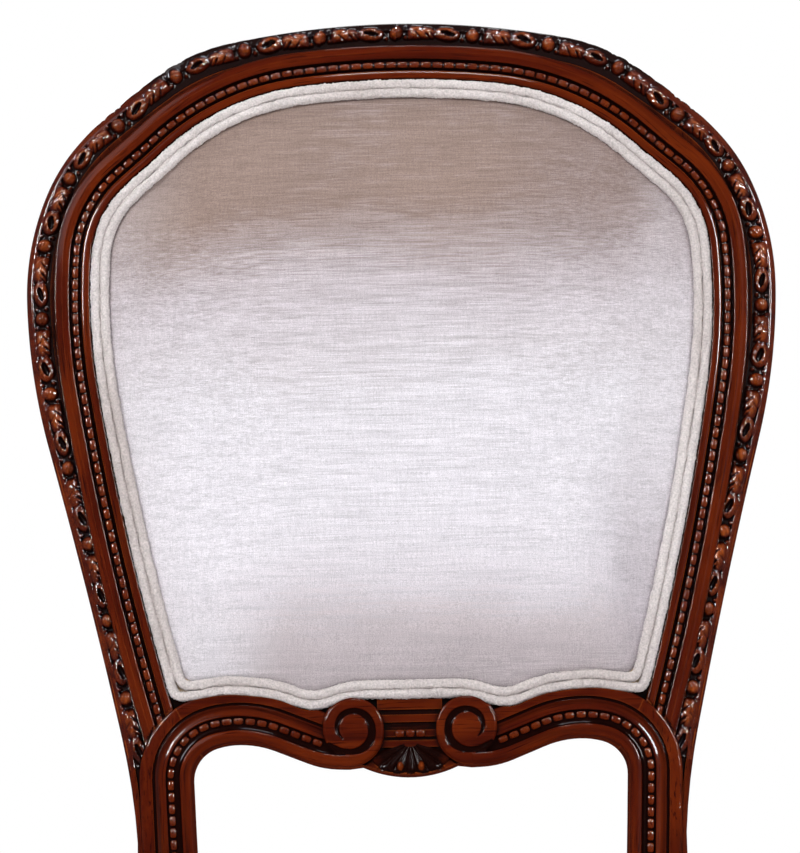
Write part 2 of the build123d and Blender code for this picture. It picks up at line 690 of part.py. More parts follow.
def welt_path():
    """Middle line of the double welt, a step inside the opening, with its lower corners rounded."""
    step = (1 + WELT_PITCH / 2) * WELT_R + WELT_CLEAR
    side, side_on = beside(SIGHT_OUTLINE, (1, 0), -step, WELT_SIDE_SHARE)
    low, low_on = beside(SIGHT_BOTTOM, (1, 0), step, WELT_LOW_SHARE)
    side_end, low_end = Vector(*side[-1]), Vector(*low[-1])
    between = low_end - side_end
    turn = side_on.cross(low_on).Z
    side_reach = between.cross(low_on).Z / turn
    low_reach = between.cross(side_on).Z / turn
    reach = min(side_reach, low_reach)
    side_stop = side_end + side_on * (side_reach - reach)
    low_stop = low_end + low_on * (low_reach - reach)
    right = tangent_chain(side, (1, 0))
    if side_reach > reach:
        right.append(Line(side_end, side_stop))
    right.append(TangentArc(side_stop, low_stop, tangent=side_on))
    if low_reach > reach:
        right.append(Line(low_stop, low_end))
    right += reversed(tangent_chain(low, (1, 0)))
    return Wire(right + [mirrored(edge) for edge in reversed(right)])


def back_welt(level):
    """Double welt round the opening, as two cords side by side along one closed line."""
    section = Pos(-WELT_PITCH / 2 * WELT_R, level) * welt_section(True)
    return swept(section, welt_path(), (0, OVERALL_HEIGHT))


# Seat platform and hardware
def corner_block(corner, legs, along, *neighbours):
    """A glued block filling an inside corner of the seat, trimmed to its neighbours."""
    low = BLOCK_TOP_Z - BLOCK_HEIGHT
    x, y = corner
    points = [corner, (x, y + along * legs[1]), (x - legs[0], y)]
    block = extrude(Pos(0, 0, low) * make_face(Polyline(*points, close=True)), BLOCK_HEIGHT)
    for neighbour in neighbours:
        block -= neighbour
    return block.solids().sort_by(SortBy.VOLUME)[-1]


def screw(head_at, turn):
    """A countersunk wood screw lying level, its point turned to the given heading."""
    shank = Pos(0, 0, SCREW_LENGTH / 2) * Cylinder(SCREW_R, SCREW_LENGTH)
    taper = Pos(0, 0, SCREW_HEAD / 2) * Cone(SCREW_HEAD_R, SCREW_R, SCREW_HEAD)
    level = BLOCK_TOP_Z - BLOCK_HEIGHT / 2
    return Pos(*head_at, level) * Rot(0, 0, turn) * Rot(0, 90, 0) * (shank + taper)


def head_relief(head_at, turn):
    level = BLOCK_TOP_Z - BLOCK_HEIGHT / 2
    bore = Pos(0, 0, -10) * Cylinder(SCREW_HEAD_R + JOINT_CLEAR, 20)
    return Pos(*head_at, level) * Rot(0, 0, turn) * Rot(0, 90, 0) * bore


def glide(x, y):
    disc = Pos(x, y, GLIDE_HEIGHT / 2) * Cylinder(GLIDE_R, GLIDE_HEIGHT)
    disc = chamfer(disc.edges().sort_by(Axis.Z)[:1], 1.0)
    pin = Pos(x, y, GLIDE_HEIGHT + GLIDE_PIN / 2) * Cylinder(GLIDE_PIN_R, GLIDE_PIN)
    return disc + pin


def straps(along_x, level):
    ground = slab(cushion_face(CUSHION_INSET + COVER_THICK + 3), level, level + STRAP_THICK)
    middle = level + STRAP_THICK / 2
    if along_x:
        boxes = [Pos(0, y, middle) * Box(STRAP_STOCK, STRAP_WIDTH, STRAP_THICK) for y in STRAP_ACROSS_Y]
    else:
        strip = Pos(0, CUSHION_CENTRE_Y, middle) * Box(STRAP_WIDTH, STRAP_STOCK, STRAP_THICK)
        boxes = [Pos(x, 0, 0) * strip for x in STRAP_ALONG_X]
    return [box & ground for box in boxes]


# Assembly
def pair(name, shape):
    """A right-hand piece and its mirror image, named by filling in the side."""
    return {name.format("right"): shape, name.format("left"): mirrored(shape)}


def numbered(name, shapes):
    return {f"{name}_{number}": shape for number, shape in enumerate(shapes, 1)}


def back_pieces():
    frame = back_frame()
    holes = shoulder_dowels(DOWEL_R + JOINT_CLEAR, DOWEL_LENGTH + 2)
    crest = (frame & crest_zone()) - holes - [mirrored(hole) for hole in holes]
    rail = frame & rail_zone()
    rail += [back_tenon(0), mirrored(back_tenon(0))]
    sides = frame - crest_zone() - rail_zone()
    post = sides.solids().sort_by(Axis.X)[-1]
    post = post - holes - back_tenon(JOINT_CLEAR)
    pins = shoulder_dowels(DOWEL_R, DOWEL_LENGTH)
    board_top = POCKET_FLOOR + BOARD_THICK
    rear_floor = FRAME_REAR + REAR_POCKET_DEPTH
    pad = scaled_sight(PAD_SHARE)
    centre = (0, PAD_CENTRE_V)
    inner_share = PAD_SHARE - PAD_COVER / 190
    stuffing = domed(scaled_sight(inner_share), PAD_SECTIONS, centre, board_top, board_top + PAD_CROWN - PAD_COVER)
    pieces = {
        "crest_rail": crest,
        "lower_back_rail": rail,
        "back_board": slab(scaled_sight(BOARD_SHARE), POCKET_FLOOR, board_top),
        "back_wadding": slab(scaled_sight(TONGUE_SHARE - 0.003), rear_floor, POCKET_FLOOR),
        "back_foam": stuffing,
        "back_cover": domed(pad, PAD_SECTIONS, centre, board_top, board_top + PAD_CROWN) - stuffing,
        "back_double_welt": back_welt(board_top + WELT_R),
        "outside_back_panel": slab(pad, rear_floor - REAR_PANEL, rear_floor),
        "outside_back_cover": slab(pad, rear_floor - REAR_PANEL - REAR_FABRIC, rear_floor - REAR_PANEL),
        "outside_back_welt": back_welt(rear_floor - WELT_R),
        **pair("{}_inner_dowel", pins[0]),
        **pair("{}_outer_dowel", pins[1]),
    }
    pieces = {name: BACK_PLANE * shape for name, shape in pieces.items()}
    return pieces, BACK_PLANE * post


def build():
    """Every piece of the chair, named, with its bounding box centred on the origin."""
    pieces, upper_post = back_pieces()
    post_front = knee(at_back(LEG_JOIN_V, 0))[0]
    block_rear = FRONT_LEG_Y + FRONT_BLOCK / 2
    block_inner = FRONT_LEG_X - FRONT_BLOCK / 2
    side_front_x = FRONT_LEG_X + FRONT_BLOCK / 2 - BLOCK_SET_BACK - RAIL_THICK / 2
    side_rear_x = OUTER_OUTLINE[-1][0] - BLOCK_SET_BACK - RAIL_THICK / 2
    front_tenon_y = FRONT_LEG_Y - FRONT_BLOCK / 2 + BLOCK_SET_BACK + RAIL_THICK / 2
    post_inner = ARCH_EDGE[0][0]
    seats = {
        "side rear": (side_rear_x, post_front, False),
        "side front": (side_front_x, block_rear, False),
        "front": (block_inner, front_tenon_y, True),
        "rear": (post_inner, REAR_RAIL_Y[1] - 8, True),
    }
    post = upper_post + rounded_below(rear_leg(), SEAT_ZONE_BOTTOM)
    post -= [tenon(*seats["side rear"], JOINT_CLEAR), tenon(*seats["rear"], JOINT_CLEAR)]
    leg = front_leg()
    leg -= [tenon(*seats["side front"], JOINT_CLEAR), tenon(*seats["front"], JOINT_CLEAR)]
    side = side_rail() + [tenon(*seats["side rear"], 0), tenon(*seats["side front"], 0)]
    front_end, rear_end = tenon(*seats["front"], 0), tenon(*seats["rear"], 0)
    front = front_rail() + [front_end, mirrored(front_end)]
    rear = rear_rail() + [rear_end, mirrored(rear_end)]

    corner = (FRONT_LEG_X + FRONT_BLOCK_CORNER[0], FRONT_LEG_Y + FRONT_BLOCK_CORNER[1])
    front_block = corner_block(corner, FRONT_BLOCK_LEGS, 1, leg, side, front)
    corner = (post_inner + REAR_BLOCK_CORNER[0], post_front + REAR_BLOCK_CORNER[1])
    rear_block = corner_block(corner, REAR_BLOCK_LEGS, -1, post, side, rear)
    reach = FRONT_SCREW_REACH * math.sqrt(0.5)
    front_screw = ((block_inner - reach, block_rear + reach), -45)
    reach = REAR_SCREW_REACH * math.sqrt(0.5)
    rear_screw = ((post_inner - reach, post_front - reach), 45)
    leg -= screw(*front_screw)
    front_block -= [screw(*front_screw), head_relief(*front_screw)]
    post -= screw(*rear_screw)
    rear_block -= [screw(*rear_screw), head_relief(*rear_screw)]

    swing = CABRIOLE[-1][3] * math.sqrt(0.5)
    feet = [
        (FRONT_LEG_X + swing, FRONT_LEG_Y - swing),
        (REAR_FOOT_OUT - REAR_FOOT_WIDTH / 2, REAR_FOOT_SET_BACK + REAR_FOOT_DEPTH / 2),
    ]
    leg -= glide(*feet[0])
    post -= glide(*feet[1])

    strap_level = RAIL_TOP_Z + STRAP_THICK
    cloth_level = strap_level + STRAP_THICK
    foam_level = cloth_level + HESSIAN_THICK
    inner_inset = CUSHION_INSET + COVER_THICK
    inside = seat_form(inner_inset, RAIL_TOP_Z, CUSHION_TOP - COVER_THICK)
    dust = slab(cushion_face(RAIL_THICK + 6.7), DUST_COVER_Z, DUST_COVER_Z + DUST_COVER_THICK)
    pieces |= pair("{}_back_post", post) | pair("front_{}_leg", leg) | pair("{}_seat_rail", side)
    pieces |= pair("front_{}_corner_block", front_block) | pair("rear_{}_corner_block", rear_block)
    pieces |= pair("front_{}_screw", screw(*front_screw)) | pair("rear_{}_screw", screw(*rear_screw))
    pieces |= pair("front_{}_glide", glide(*feet[0])) | pair("rear_{}_glide", glide(*feet[1]))
    pieces |= numbered("strap_along", straps(False, RAIL_TOP_Z))
    pieces |= numbered("strap_across", straps(True, strap_level))
    pieces |= {
        "front_seat_rail": front,
        "rear_seat_rail": rear,
        "seat_hessian": slab(cushion_face(inner_inset + 2), cloth_level, foam_level),
        "seat_foam": split(inside, bisect_by=Plane.XY.offset(foam_level), keep=Keep.TOP),
        "seat_cover": seat_form(CUSHION_INSET, RAIL_TOP_Z, CUSHION_TOP) - inside,
        "seat_double_welt": seat_welt(),
        "dust_cover": dust - leg - mirrored(leg) - post - mirrored(post),
    }
    box = Compound(children=[solid for shape in pieces.values() for solid in shape.solids()]).bounding_box()
    shift = Pos(0, -(box.min.Y + box.max.Y) / 2, -box.min.Z)
    return {name: shift * shape for name, shape in pieces.items()}


if __name__ == "__main__":
    os.makedirs("parts", exist_ok=True)
    for name, shape in build().items():
        export_step(shape, f"parts/{name}.step")
        box = shape.bounding_box()
        valid = all(solid.is_valid for solid in shape.solids())
        print(f"{name}: {len(shape.solids())} solids, valid {valid}, {shape.volume / 1000:.1f} cm3,", box.min, box.max)
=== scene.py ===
# %% [markdown]
# # A baroque dining chair
# The chair has a carved, lacquered mahogany frame and velvet upholstery edged with double welt.
# The solids already hold the frame, the seat rails and the legs in the right places, so this lesson
# dresses them: it strings beads along the mouldings, carves the leaf frieze, swells the velvet,
# rolls the welt cords, and paints wood and cloth with procedural materials.

# %% Load the frame
import json
import math

import bmesh
import bpy
import numpy as np
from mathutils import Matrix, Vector


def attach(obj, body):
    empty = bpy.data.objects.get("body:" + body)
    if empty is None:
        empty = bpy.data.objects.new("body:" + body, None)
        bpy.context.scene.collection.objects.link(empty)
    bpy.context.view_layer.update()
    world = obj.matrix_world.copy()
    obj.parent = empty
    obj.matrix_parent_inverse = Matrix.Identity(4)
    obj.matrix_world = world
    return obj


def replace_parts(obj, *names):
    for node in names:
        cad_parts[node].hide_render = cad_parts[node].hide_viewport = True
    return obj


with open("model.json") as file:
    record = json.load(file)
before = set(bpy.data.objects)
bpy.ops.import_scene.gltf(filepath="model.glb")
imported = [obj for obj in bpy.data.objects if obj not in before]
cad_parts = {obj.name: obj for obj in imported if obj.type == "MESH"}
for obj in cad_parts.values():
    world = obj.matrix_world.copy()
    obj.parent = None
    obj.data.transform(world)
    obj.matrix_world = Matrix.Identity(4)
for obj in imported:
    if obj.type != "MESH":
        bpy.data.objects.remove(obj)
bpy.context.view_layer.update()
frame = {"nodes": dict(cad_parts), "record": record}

# %% [markdown]
# ## The plane of the back
# The back is drawn flat and then leaned back, as a chair maker does with a template. A point on it
# is given in millimetres: u across, v up the back and w out of its front face.

# %% Points on the leaning back
MM = 0.001
BACK_RAKE = math.radians(10.0)
BACK_CENTRE = np.array((0.0, 0.20588, 0.77198))
ACROSS = np.array((1.0, 0.0, 0.0))
UP_BACK = np.array((0.0, math.sin(BACK_RAKE), math.cos(BACK_RAKE)))
OUT_FRONT = np.array((0.0, -math.cos(BACK_RAKE), math.sin(BACK_RAKE)))
SIDES = ((1, "right"), (-1, "left"))


def on_back(points):
    """World places, in metres, of points given as (u, v, w) in millimetres."""
    points = np.asarray(points, float) * MM
    return BACK_CENTRE + points[:, :1] * ACROSS + points[:, 1:2] * UP_BACK + points[:, 2:3] * OUT_FRONT


def at_level(run, level):
    """Points (u, v, w) of a flat run at one level."""
    return np.column_stack([run, np.full(len(run), level)])


def carved_points(flat, height, side):
    """World places of a grid of flat points with heights, mirrored for the left side."""
    return on_back(np.concatenate([flat * (side, 1), height[..., None]], axis=2).reshape(-1, 3))


# %% [markdown]
# The outlines are chains of arcs. Each arc leaves along the tangent of the last, so a handful of
# points draws a smooth line, and a line beside it is found by stepping along its normals.

# %% Outlines of the back
OUTER_OUTLINE = [
    (0, 262), (103, 251.5), (152, 230), (190.5, 200), (223.5, 155),
    (236.5, 85), (222.5, -10), (178, -190), (168.5, -255),
]
SIGHT_OUTLINE = [
    (0, 224.5), (62, 221), (148, 181.5), (172, 160), (195, 114), (191, 28), (149, -162),
]
SIGHT_BOTTOM = [
    (0, -170.3), (30, -170.3), (44, -173), (57, -176.4), (70, -174.2),
    (88, -168.3), (107, -166.2), (125, -167.4), (141, -170),
]
ARCH_EDGE = [
    (131.2, -300), (135, -217), (129.2, -202), (120, -196.5), (106, -194.6),
    (84, -199), (64, -207), (46, -211), (38, -211.3),
]

# %% [markdown]
# A few functions draw the chains, space their points evenly and step to one side of them.

# %% Lines and offsets
def arc_chain(points, heading, step=1.0):
    """Places about every step along tangent arcs through the points."""
    turn = math.atan2(heading[1], heading[0])
    run = [np.array(points[0], float)]
    for start, end in zip(points, points[1:]):
        chord = np.subtract(end, start).astype(float)
        length = math.hypot(*chord)
        bend = math.remainder(math.atan2(chord[1], chord[0]) - turn, math.tau)
        curve = 2 * math.sin(bend) / length
        for share in np.linspace(0, 1, max(3, int(length / step)))[1:]:
            if abs(bend) < 1e-5:
                run.append(start + share * chord)
                continue
            now = turn + 2 * bend * share
            across = (math.sin(now) - math.sin(turn)) / curve
            up = (math.cos(turn) - math.cos(now)) / curve
            run.append(np.add(start, (across, up)))
        turn += 2 * bend
    return np.array(run)


def both_sides(half):
    """A right half that starts on the centre line, with its mirror image before it."""
    return np.vstack([(half * (-1, 1))[::-1][:-1], half])


def distances(run):
    """How far along a run each of its points lies."""
    return np.concatenate([[0], np.cumsum(np.linalg.norm(np.diff(run, axis=0), axis=1))])


def respaced(run, step):
    """The same line with evenly spaced points."""
    along = distances(run)
    marks = np.linspace(0, along[-1], max(3, int(round(along[-1] / step)) + 1))
    return np.column_stack([np.interp(marks, along, run[:, k]) for k in range(run.shape[1])])


def left_normals(run):
    """Unit directions to the left of a run."""
    tangent = np.gradient(run, axis=0)
    tangent /= np.linalg.norm(tangent, axis=1)[:, None]
    return np.column_stack([-tangent[:, 1], tangent[:, 0]])


def beside(run, distance):
    """The line at a distance to the left of a run."""
    return run + left_normals(run) * distance


sight_half = arc_chain(SIGHT_OUTLINE, (1, 0))
sight_run = both_sides(sight_half)
outer_run = both_sides(arc_chain(OUTER_OUTLINE, (1, 0)))
bottom_run = both_sides(arc_chain(SIGHT_BOTTOM, (1, 0)))
arch_run = arc_chain(ARCH_EDGE, (0.055, 1))
for word, run in (("sight", sight_run), ("outer", outer_run)):
    print(word, "edge", round(distances(run)[-1]), "mm")

# %% [markdown]
# ## Finishes
# Every finish is a node tree on Object coordinates, so it needs no image and no unwrapping. A few
# helpers keep the trees short: one adds a node and feeds its sockets, one does sums, one mixes two
# colours, one makes a colour ramp and one makes a soft mask.

# %% Helpers for nodes
def new_finish(name):
    """A new material with its node tree and its shader."""
    finish = bpy.data.materials.new(name)
    finish.use_nodes = True
    tree = finish.node_tree
    return finish, tree, tree.nodes["Principled BSDF"]


def feed(tree, node, **values):
    """Give input sockets their values; a value is a number, a colour or a socket to link."""
    for key, value in values.items():
        feed_socket(tree, node.inputs[key.replace("_", " ")], value)


def feed_socket(tree, socket, value):
    """Link one socket, or set its value."""
    if isinstance(value, bpy.types.NodeSocket):
        tree.links.new(value, socket)
    else:
        socket.default_value = value


def add(tree, kind, *values, **settings):
    """A node; values fill its sockets in order, settings name its properties and other sockets."""
    node = tree.nodes.new(kind if "Node" in kind else "ShaderNode" + kind)
    for key, value in settings.items():
        if hasattr(node, key):
            setattr(node, key, value)
        else:
            feed(tree, node, **{key: value})
    for socket, value in zip(node.inputs, values):
        feed_socket(tree, socket, value)
    return node


def maths(tree, operation, *values, **settings):
    """The result of one sum on sockets and numbers."""
    return add(tree, "Math", *values, operation=operation, **settings).outputs[0]


# %% [markdown]
# Colours are mixed, ramped, faded and broken up by noise.

# %% Helpers for colours
def blend_colours(tree, share, first, second, mode="MIX"):
    """Mix two colours; each is a socket or a colour value."""
    node = add(tree, "Mix", share, data_type="RGBA", blend_type=mode)
    feed_socket(tree, node.inputs[6], first)
    feed_socket(tree, node.inputs[7], second)
    return node.outputs[2]


def ramp(tree, source, *stops):
    """A ramp from stops of (position, grey or colour)."""
    node = add(tree, "ValToRGB", source)
    elements = node.color_ramp.elements
    while len(elements) < len(stops):
        elements.new(0.5)
    for element, (position, value) in zip(elements, stops):
        element.position = position
        element.color = value if isinstance(value, tuple) else (value, value, value, 1)
    return node.outputs[0]


def smooth_fade(tree, source, start, end, most=1.0):
    """A mask that rises smoothly from 0 to its most between two values."""
    fade = add(tree, "MapRange", source, start, end, interpolation_type="SMOOTHSTEP", To_Max=most)
    return fade.outputs[0]


def stretched_noise(tree, scale, detail=4.0, distortion=0.0, follows=None):
    """Noise stretched along each axis of the Object coordinates, or of a point attribute."""
    if follows:
        place = add(tree, "Attribute", attribute_name=follows).outputs["Vector"]
    else:
        place = add(tree, "TexCoord").outputs["Object"]
    mapped = add(tree, "Mapping", place, Scale=scale).outputs[0]
    texture = add(tree, "TexNoise", mapped, Scale=1.0, Detail=detail, Distortion=distortion)
    return texture.outputs[0]


# %% [markdown]
# ### Lacquered mahogany
# The wood is stained red-brown and a glossy lacquer covers it. A nearly black glaze was wiped over it
# and stayed in the hollows of the carving. Ambient occlusion finds the hollows and paints them nearly
# black: the glaze together with painted shade. Its inside mode finds the proud edges and paints them
# lighter: wear where the glaze was wiped off, together with painted highlight.

# %% Wood tones
# The first tone darkens the hollows: glaze together with painted shade.
GLAZE_AND_SHADE = (0.009, 0.0018, 0.0012, 1)
WOOD_DARK = (0.026, 0.0026, 0.001, 1)
WOOD_MID = (0.068, 0.0062, 0.0013, 1)
WOOD_LIGHT = (0.122, 0.0155, 0.0022, 1)
# The rubbed tone lightens edges and carved tops: wear together with painted highlight.
WOOD_RUBBED_AND_HIGHLIT = (0.4, 0.082, 0.011, 1)
WOOD_WARM = (0.19, 0.027, 0.0028, 1)
PLAIN_TONES = (WOOD_DARK, WOOD_MID, WOOD_LIGHT)
CARVED_TONES = (WOOD_DARK, (0.06, 0.0055, 0.0013, 1), WOOD_LIGHT)
BEAD_TONES = (WOOD_MID, (0.1, 0.012, 0.002, 1), WOOD_LIGHT)
GLAZE_AND_SHADE_REACH = 0.006
EDGE_REACH = 0.0013
EASED_EDGE = 0.0005
LACQUER = 0.05

# %% [markdown]
# The wood is built up in layers: the figure of the bare wood, the edges painted lighter for wear and
# as painted highlight, and the relief of the lacquer. Each layer is a function.

# %% Layers of the wood
def wood_figure(tree, grain, tones, follows):
    """Colour of the bare wood: streaks along the grain, warm patches and dark pores."""
    def noise(long, cross, detail, distortion=0.0):
        """Noise with one scale along the grain and another across it."""
        scale = tuple(long if axis == "long" else cross for axis in grain)
        return stretched_noise(tree, scale, detail, distortion, follows)

    colour = ramp(tree, noise(12, 170, 6, 0.6), *zip((0.22, 0.5, 0.82), tones))
    patches = ramp(tree, noise(9, 38, 3), (0.45, 0.0), (0.7, 0.5))
    colour = blend_colours(tree, patches, colour, WOOD_WARM)
    pores = ramp(tree, noise(40, 900, 2), (0.3, 1.0), (0.42, 0.0))
    return blend_colours(tree, pores, colour, WOOD_DARK)


def worn_and_highlit_edges(tree, rub_and_highlight, carved):
    """Mask of the places painted lighter, for wear and as painted highlight: a carved piece says where,
    others find their edges.
    """
    if not carved:
        edges = add(tree, "AmbientOcclusion", samples=6, inside=True, Distance=EDGE_REACH)
        return ramp(tree, edges.outputs["AO"], (0.35, rub_and_highlight), (0.8, 0.0))
    wear_and_highlight = add(tree, "Attribute", attribute_name="wear_and_highlight").outputs["Fac"]
    rub_and_light_patches = ramp(tree, stretched_noise(tree, (75, 75, 75), 2), (0.4, 0.25), (0.62, 1.0))
    worn_and_lit = ramp(tree, wear_and_highlight, (0.0, 0.0), (1.0, rub_and_highlight))
    return blend_colours(tree, 1.0, worn_and_lit, rub_and_light_patches, "MULTIPLY")


def lacquer_relief(tree, glaze_and_shade_mask, rippled):
    """Normals of the lacquer: eased edges, slow ripples and grit in the hollows painted with glaze and
    shade.
    """
    eased = add(tree, "Bevel", samples=4, Radius=EASED_EDGE).outputs[0]
    scale, strength = (380, 0.45) if rippled else (170, 0.3)
    waves = stretched_noise(tree, (scale, scale, scale), 3)
    flow = add(tree, "Bump", Strength=strength, Distance=0.001, Height=waves, Normal=eased)
    crumbs = maths(tree, "MULTIPLY", stretched_noise(tree, (1300, 1300, 1300), 2), glaze_and_shade_mask)
    grit = add(tree, "Bump", Strength=0.35, Distance=0.0006, Height=crumbs, Normal=flow.outputs[0])
    return grit.outputs[0]


# %% [markdown]
# A finish puts the layers together. Glaze with painted shade fills the hollows, the lacquer fades where
# it is seen at a slant, and the carved pieces bring their glaze and shade, and their wear and painted
# highlight, with them as attributes.

# %% Wood finishes
def lacquered_wood(name, grain, rub_and_highlight=0.4, carved=False, tones=PLAIN_TONES, follows=None, gloss=LACQUER):
    """Mahogany whose grain runs along the axis called long; a carved finish reads its own glaze and painted
    shade.
    """
    finish, tree, shader = new_finish(name)
    colour = wood_figure(tree, grain, tones, follows)
    # Edges and carved tops are painted lighter: wear together with painted highlight.
    colour = blend_colours(tree, worn_and_highlit_edges(tree, rub_and_highlight, carved), colour, WOOD_RUBBED_AND_HIGHLIT)
    # The hollows are painted nearly black: glaze together with painted shade.
    hollows = add(tree, "AmbientOcclusion", samples=10, Distance=GLAZE_AND_SHADE_REACH)
    glaze_and_shade_mask = ramp(tree, hollows.outputs["AO"], (0.52, 1.0), (0.9, 0.0))
    colour = blend_colours(tree, glaze_and_shade_mask, colour, GLAZE_AND_SHADE)
    glance = add(tree, "LayerWeight", Blend=0.5)
    lacquer = ramp(tree, glance.outputs["Facing"], (0.45, gloss), (0.85, 0.1 * gloss))
    if carved:
        # Carved pieces carry their own darkening: glaze together with painted shade.
        depth = add(tree, "Attribute", attribute_name="glaze_and_shade").outputs["Fac"]
        colour = blend_colours(tree, ramp(tree, depth, (0.25, 0.0), (0.75, 1.0)), colour, GLAZE_AND_SHADE)
    if carved and follows:
        dulled = ramp(tree, depth, (0.3, 1.0), (0.9, 0.3))
        lacquer = blend_colours(tree, 1.0, lacquer, dulled, "MULTIPLY")
    relief = lacquer_relief(tree, glaze_and_shade_mask, carved and not follows)
    feed(tree, shader, Base_Color=colour, Normal=relief, Roughness=0.45, Specular_IOR_Level=0.0)
    feed(tree, shader, Coat_Weight=gloss, Coat_IOR=1.5, Coat_Roughness=0.07)
    feed(tree, shader, Coat_Weight=lacquer)
    return finish


ALL_CROSS = ("cross", "cross", "cross")
LEVEL_GRAIN = ("long", "cross", "cross")
UPRIGHT_WOOD = lacquered_wood("mahogany_upright", ("cross", "cross", "long"))
LEVEL_WOOD = lacquered_wood("mahogany_level", LEVEL_GRAIN)
SIDE_WOOD = lacquered_wood("mahogany_side", ("cross", "long", "cross"))
MOULDED_WOOD = lacquered_wood("mahogany_moulded", LEVEL_GRAIN, rub_and_highlight=0.5, carved=True, follows="grain")
CARVED_WOOD = lacquered_wood(
    "mahogany_carved", ALL_CROSS, rub_and_highlight=0.75, carved=True, tones=CARVED_TONES, gloss=0.12
)
BEAD_WOOD = lacquered_wood("mahogany_beads", ALL_CROSS, rub_and_highlight=0.35, tones=BEAD_TONES, gloss=0.08)
SHELL_WOOD = lacquered_wood("mahogany_shell", ALL_CROSS, rub_and_highlight=0.6, carved=True, gloss=0.03)
print("wood finishes", [m.name for m in bpy.data.materials if m.name.startswith("mahogany_")])

# %% [markdown]
# ### Velvet
# The cover is a silvery velvet. Slubs in its yarn make fine level streaks. Shade and sheen are painted
# into its colour, so that the upper part looks taupe, the middle looks nearly white and the bottom is
# darker again. The welt is the same cloth.

# %% Cloth tones
SHEEN_SHADE_FROM, SHEEN_SHADE_TO = 0.62, 0.92
# Painted shade and sheen up the back: darker near the bottom, nearly white in the middle, taupe at the top.
SHEEN_SHADE_TONES = [
    (0.0, (0.55, 0.49, 0.51)), (0.07, (0.65, 0.585, 0.61)), (0.15, (0.81, 0.765, 0.815)),
    (0.24, (0.875, 0.84, 0.895)), (0.36, (0.88, 0.85, 0.905)), (0.56, (0.835, 0.805, 0.855)),
    (0.66, (0.75, 0.705, 0.745)), (0.74, (0.69, 0.635, 0.675)), (0.82, (0.59, 0.525, 0.55)),
    (0.9, (0.45, 0.37, 0.365)), (0.98, (0.36, 0.27, 0.243)), (1.0, (0.355, 0.26, 0.225)),
]
SHEEN_SHADE_LEAN = -0.2
SHEEN_SHADE_DRIFT = ((0.22, "cloud"), (-0.19, "weft"), (-0.07, "broad"))
PAINTED_PATCH_WANDER = 0.09
# Painted light along the left edge of the back.
PAINTED_EDGE_LIGHT = (0.66, 0.61, 0.64, 1)
PAINTED_LIGHT_LEFT_EDGE = (-0.12, -0.19, 0.4)
# Painted patches: shade low on the right side, light low on the left, shadow high on the right, and a lit
# strip along the far right edge.
PAINTED_SHADE_AND_LIGHT_PATCHES = [
    ((0.1, 0.168), (0.8, 0.68), (0.5, 0.45, 0.49, 1), 0.88),
    ((-0.085, -0.125), (0.68, 0.64), (0.83, 0.8, 0.85, 1), 0.8),
    ((0.05, 0.13), (0.84, 0.9), (0.29, 0.22, 0.21, 1), 0.4),
    ((0.135, 0.158), (0.945, 0.9), (0.7, 0.65, 0.69, 1), 0.36),
]
CLOTH_SHADE = (0.7, 0.655, 0.67, 1)
CLOTH_LIGHT = (0.77, 0.735, 0.765, 1)
WELT_SHADE = (0.585, 0.52, 0.505, 1)
WELT_LIGHT = (0.74, 0.685, 0.675, 1)

# %% [markdown]
# The painted shade and sheen is a ramp up the back. Drift and threads push it about, two patches near
# the corners are painted as shade and two as light, and the left edge is painted lighter.

# %% Painted shade and sheen of the back
def painted_sheen_and_shade(tree, patterns):
    """Painted shade and sheen by height on the back: dark at the top, light lower down."""
    place = add(tree, "TexCoord").outputs["Object"]
    parts = add(tree, "SeparateXYZ", place).outputs
    height = add(tree, "MapRange", parts["Z"], SHEEN_SHADE_FROM, SHEEN_SHADE_TO).outputs[0]
    for amount, pattern in SHEEN_SHADE_DRIFT:
        moved = maths(tree, "MULTIPLY_ADD", patterns[pattern], amount, -0.5 * amount)
        height = maths(tree, "ADD", height, moved)
    height = maths(tree, "MULTIPLY_ADD", parts["X"], SHEEN_SHADE_LEAN, height)
    colour = ramp(tree, height, *[(position, tone + (1,)) for position, tone in SHEEN_SHADE_TONES])
    strayed = {}
    for axis in "XZ":
        shifted = maths(tree, "MULTIPLY_ADD", patterns["cloud"], PAINTED_PATCH_WANDER, parts[axis])
        strayed[axis] = maths(tree, "SUBTRACT", shifted, PAINTED_PATCH_WANDER / 2)
    for across, up, tone, most in PAINTED_SHADE_AND_LIGHT_PATCHES:
        sides = smooth_fade(tree, strayed["X"], *across), smooth_fade(tree, strayed["Z"], *up, most)
        colour = blend_colours(tree, maths(tree, "MULTIPLY", *sides), colour, tone)
    return blend_colours(tree, smooth_fade(tree, parts["X"], *PAINTED_LIGHT_LEFT_EDGE), colour, PAINTED_EDGE_LIGHT)


# %% [markdown]
# Velvet adds weft, warp and pile to the painted shade and sheen, as tones and as small bumps.

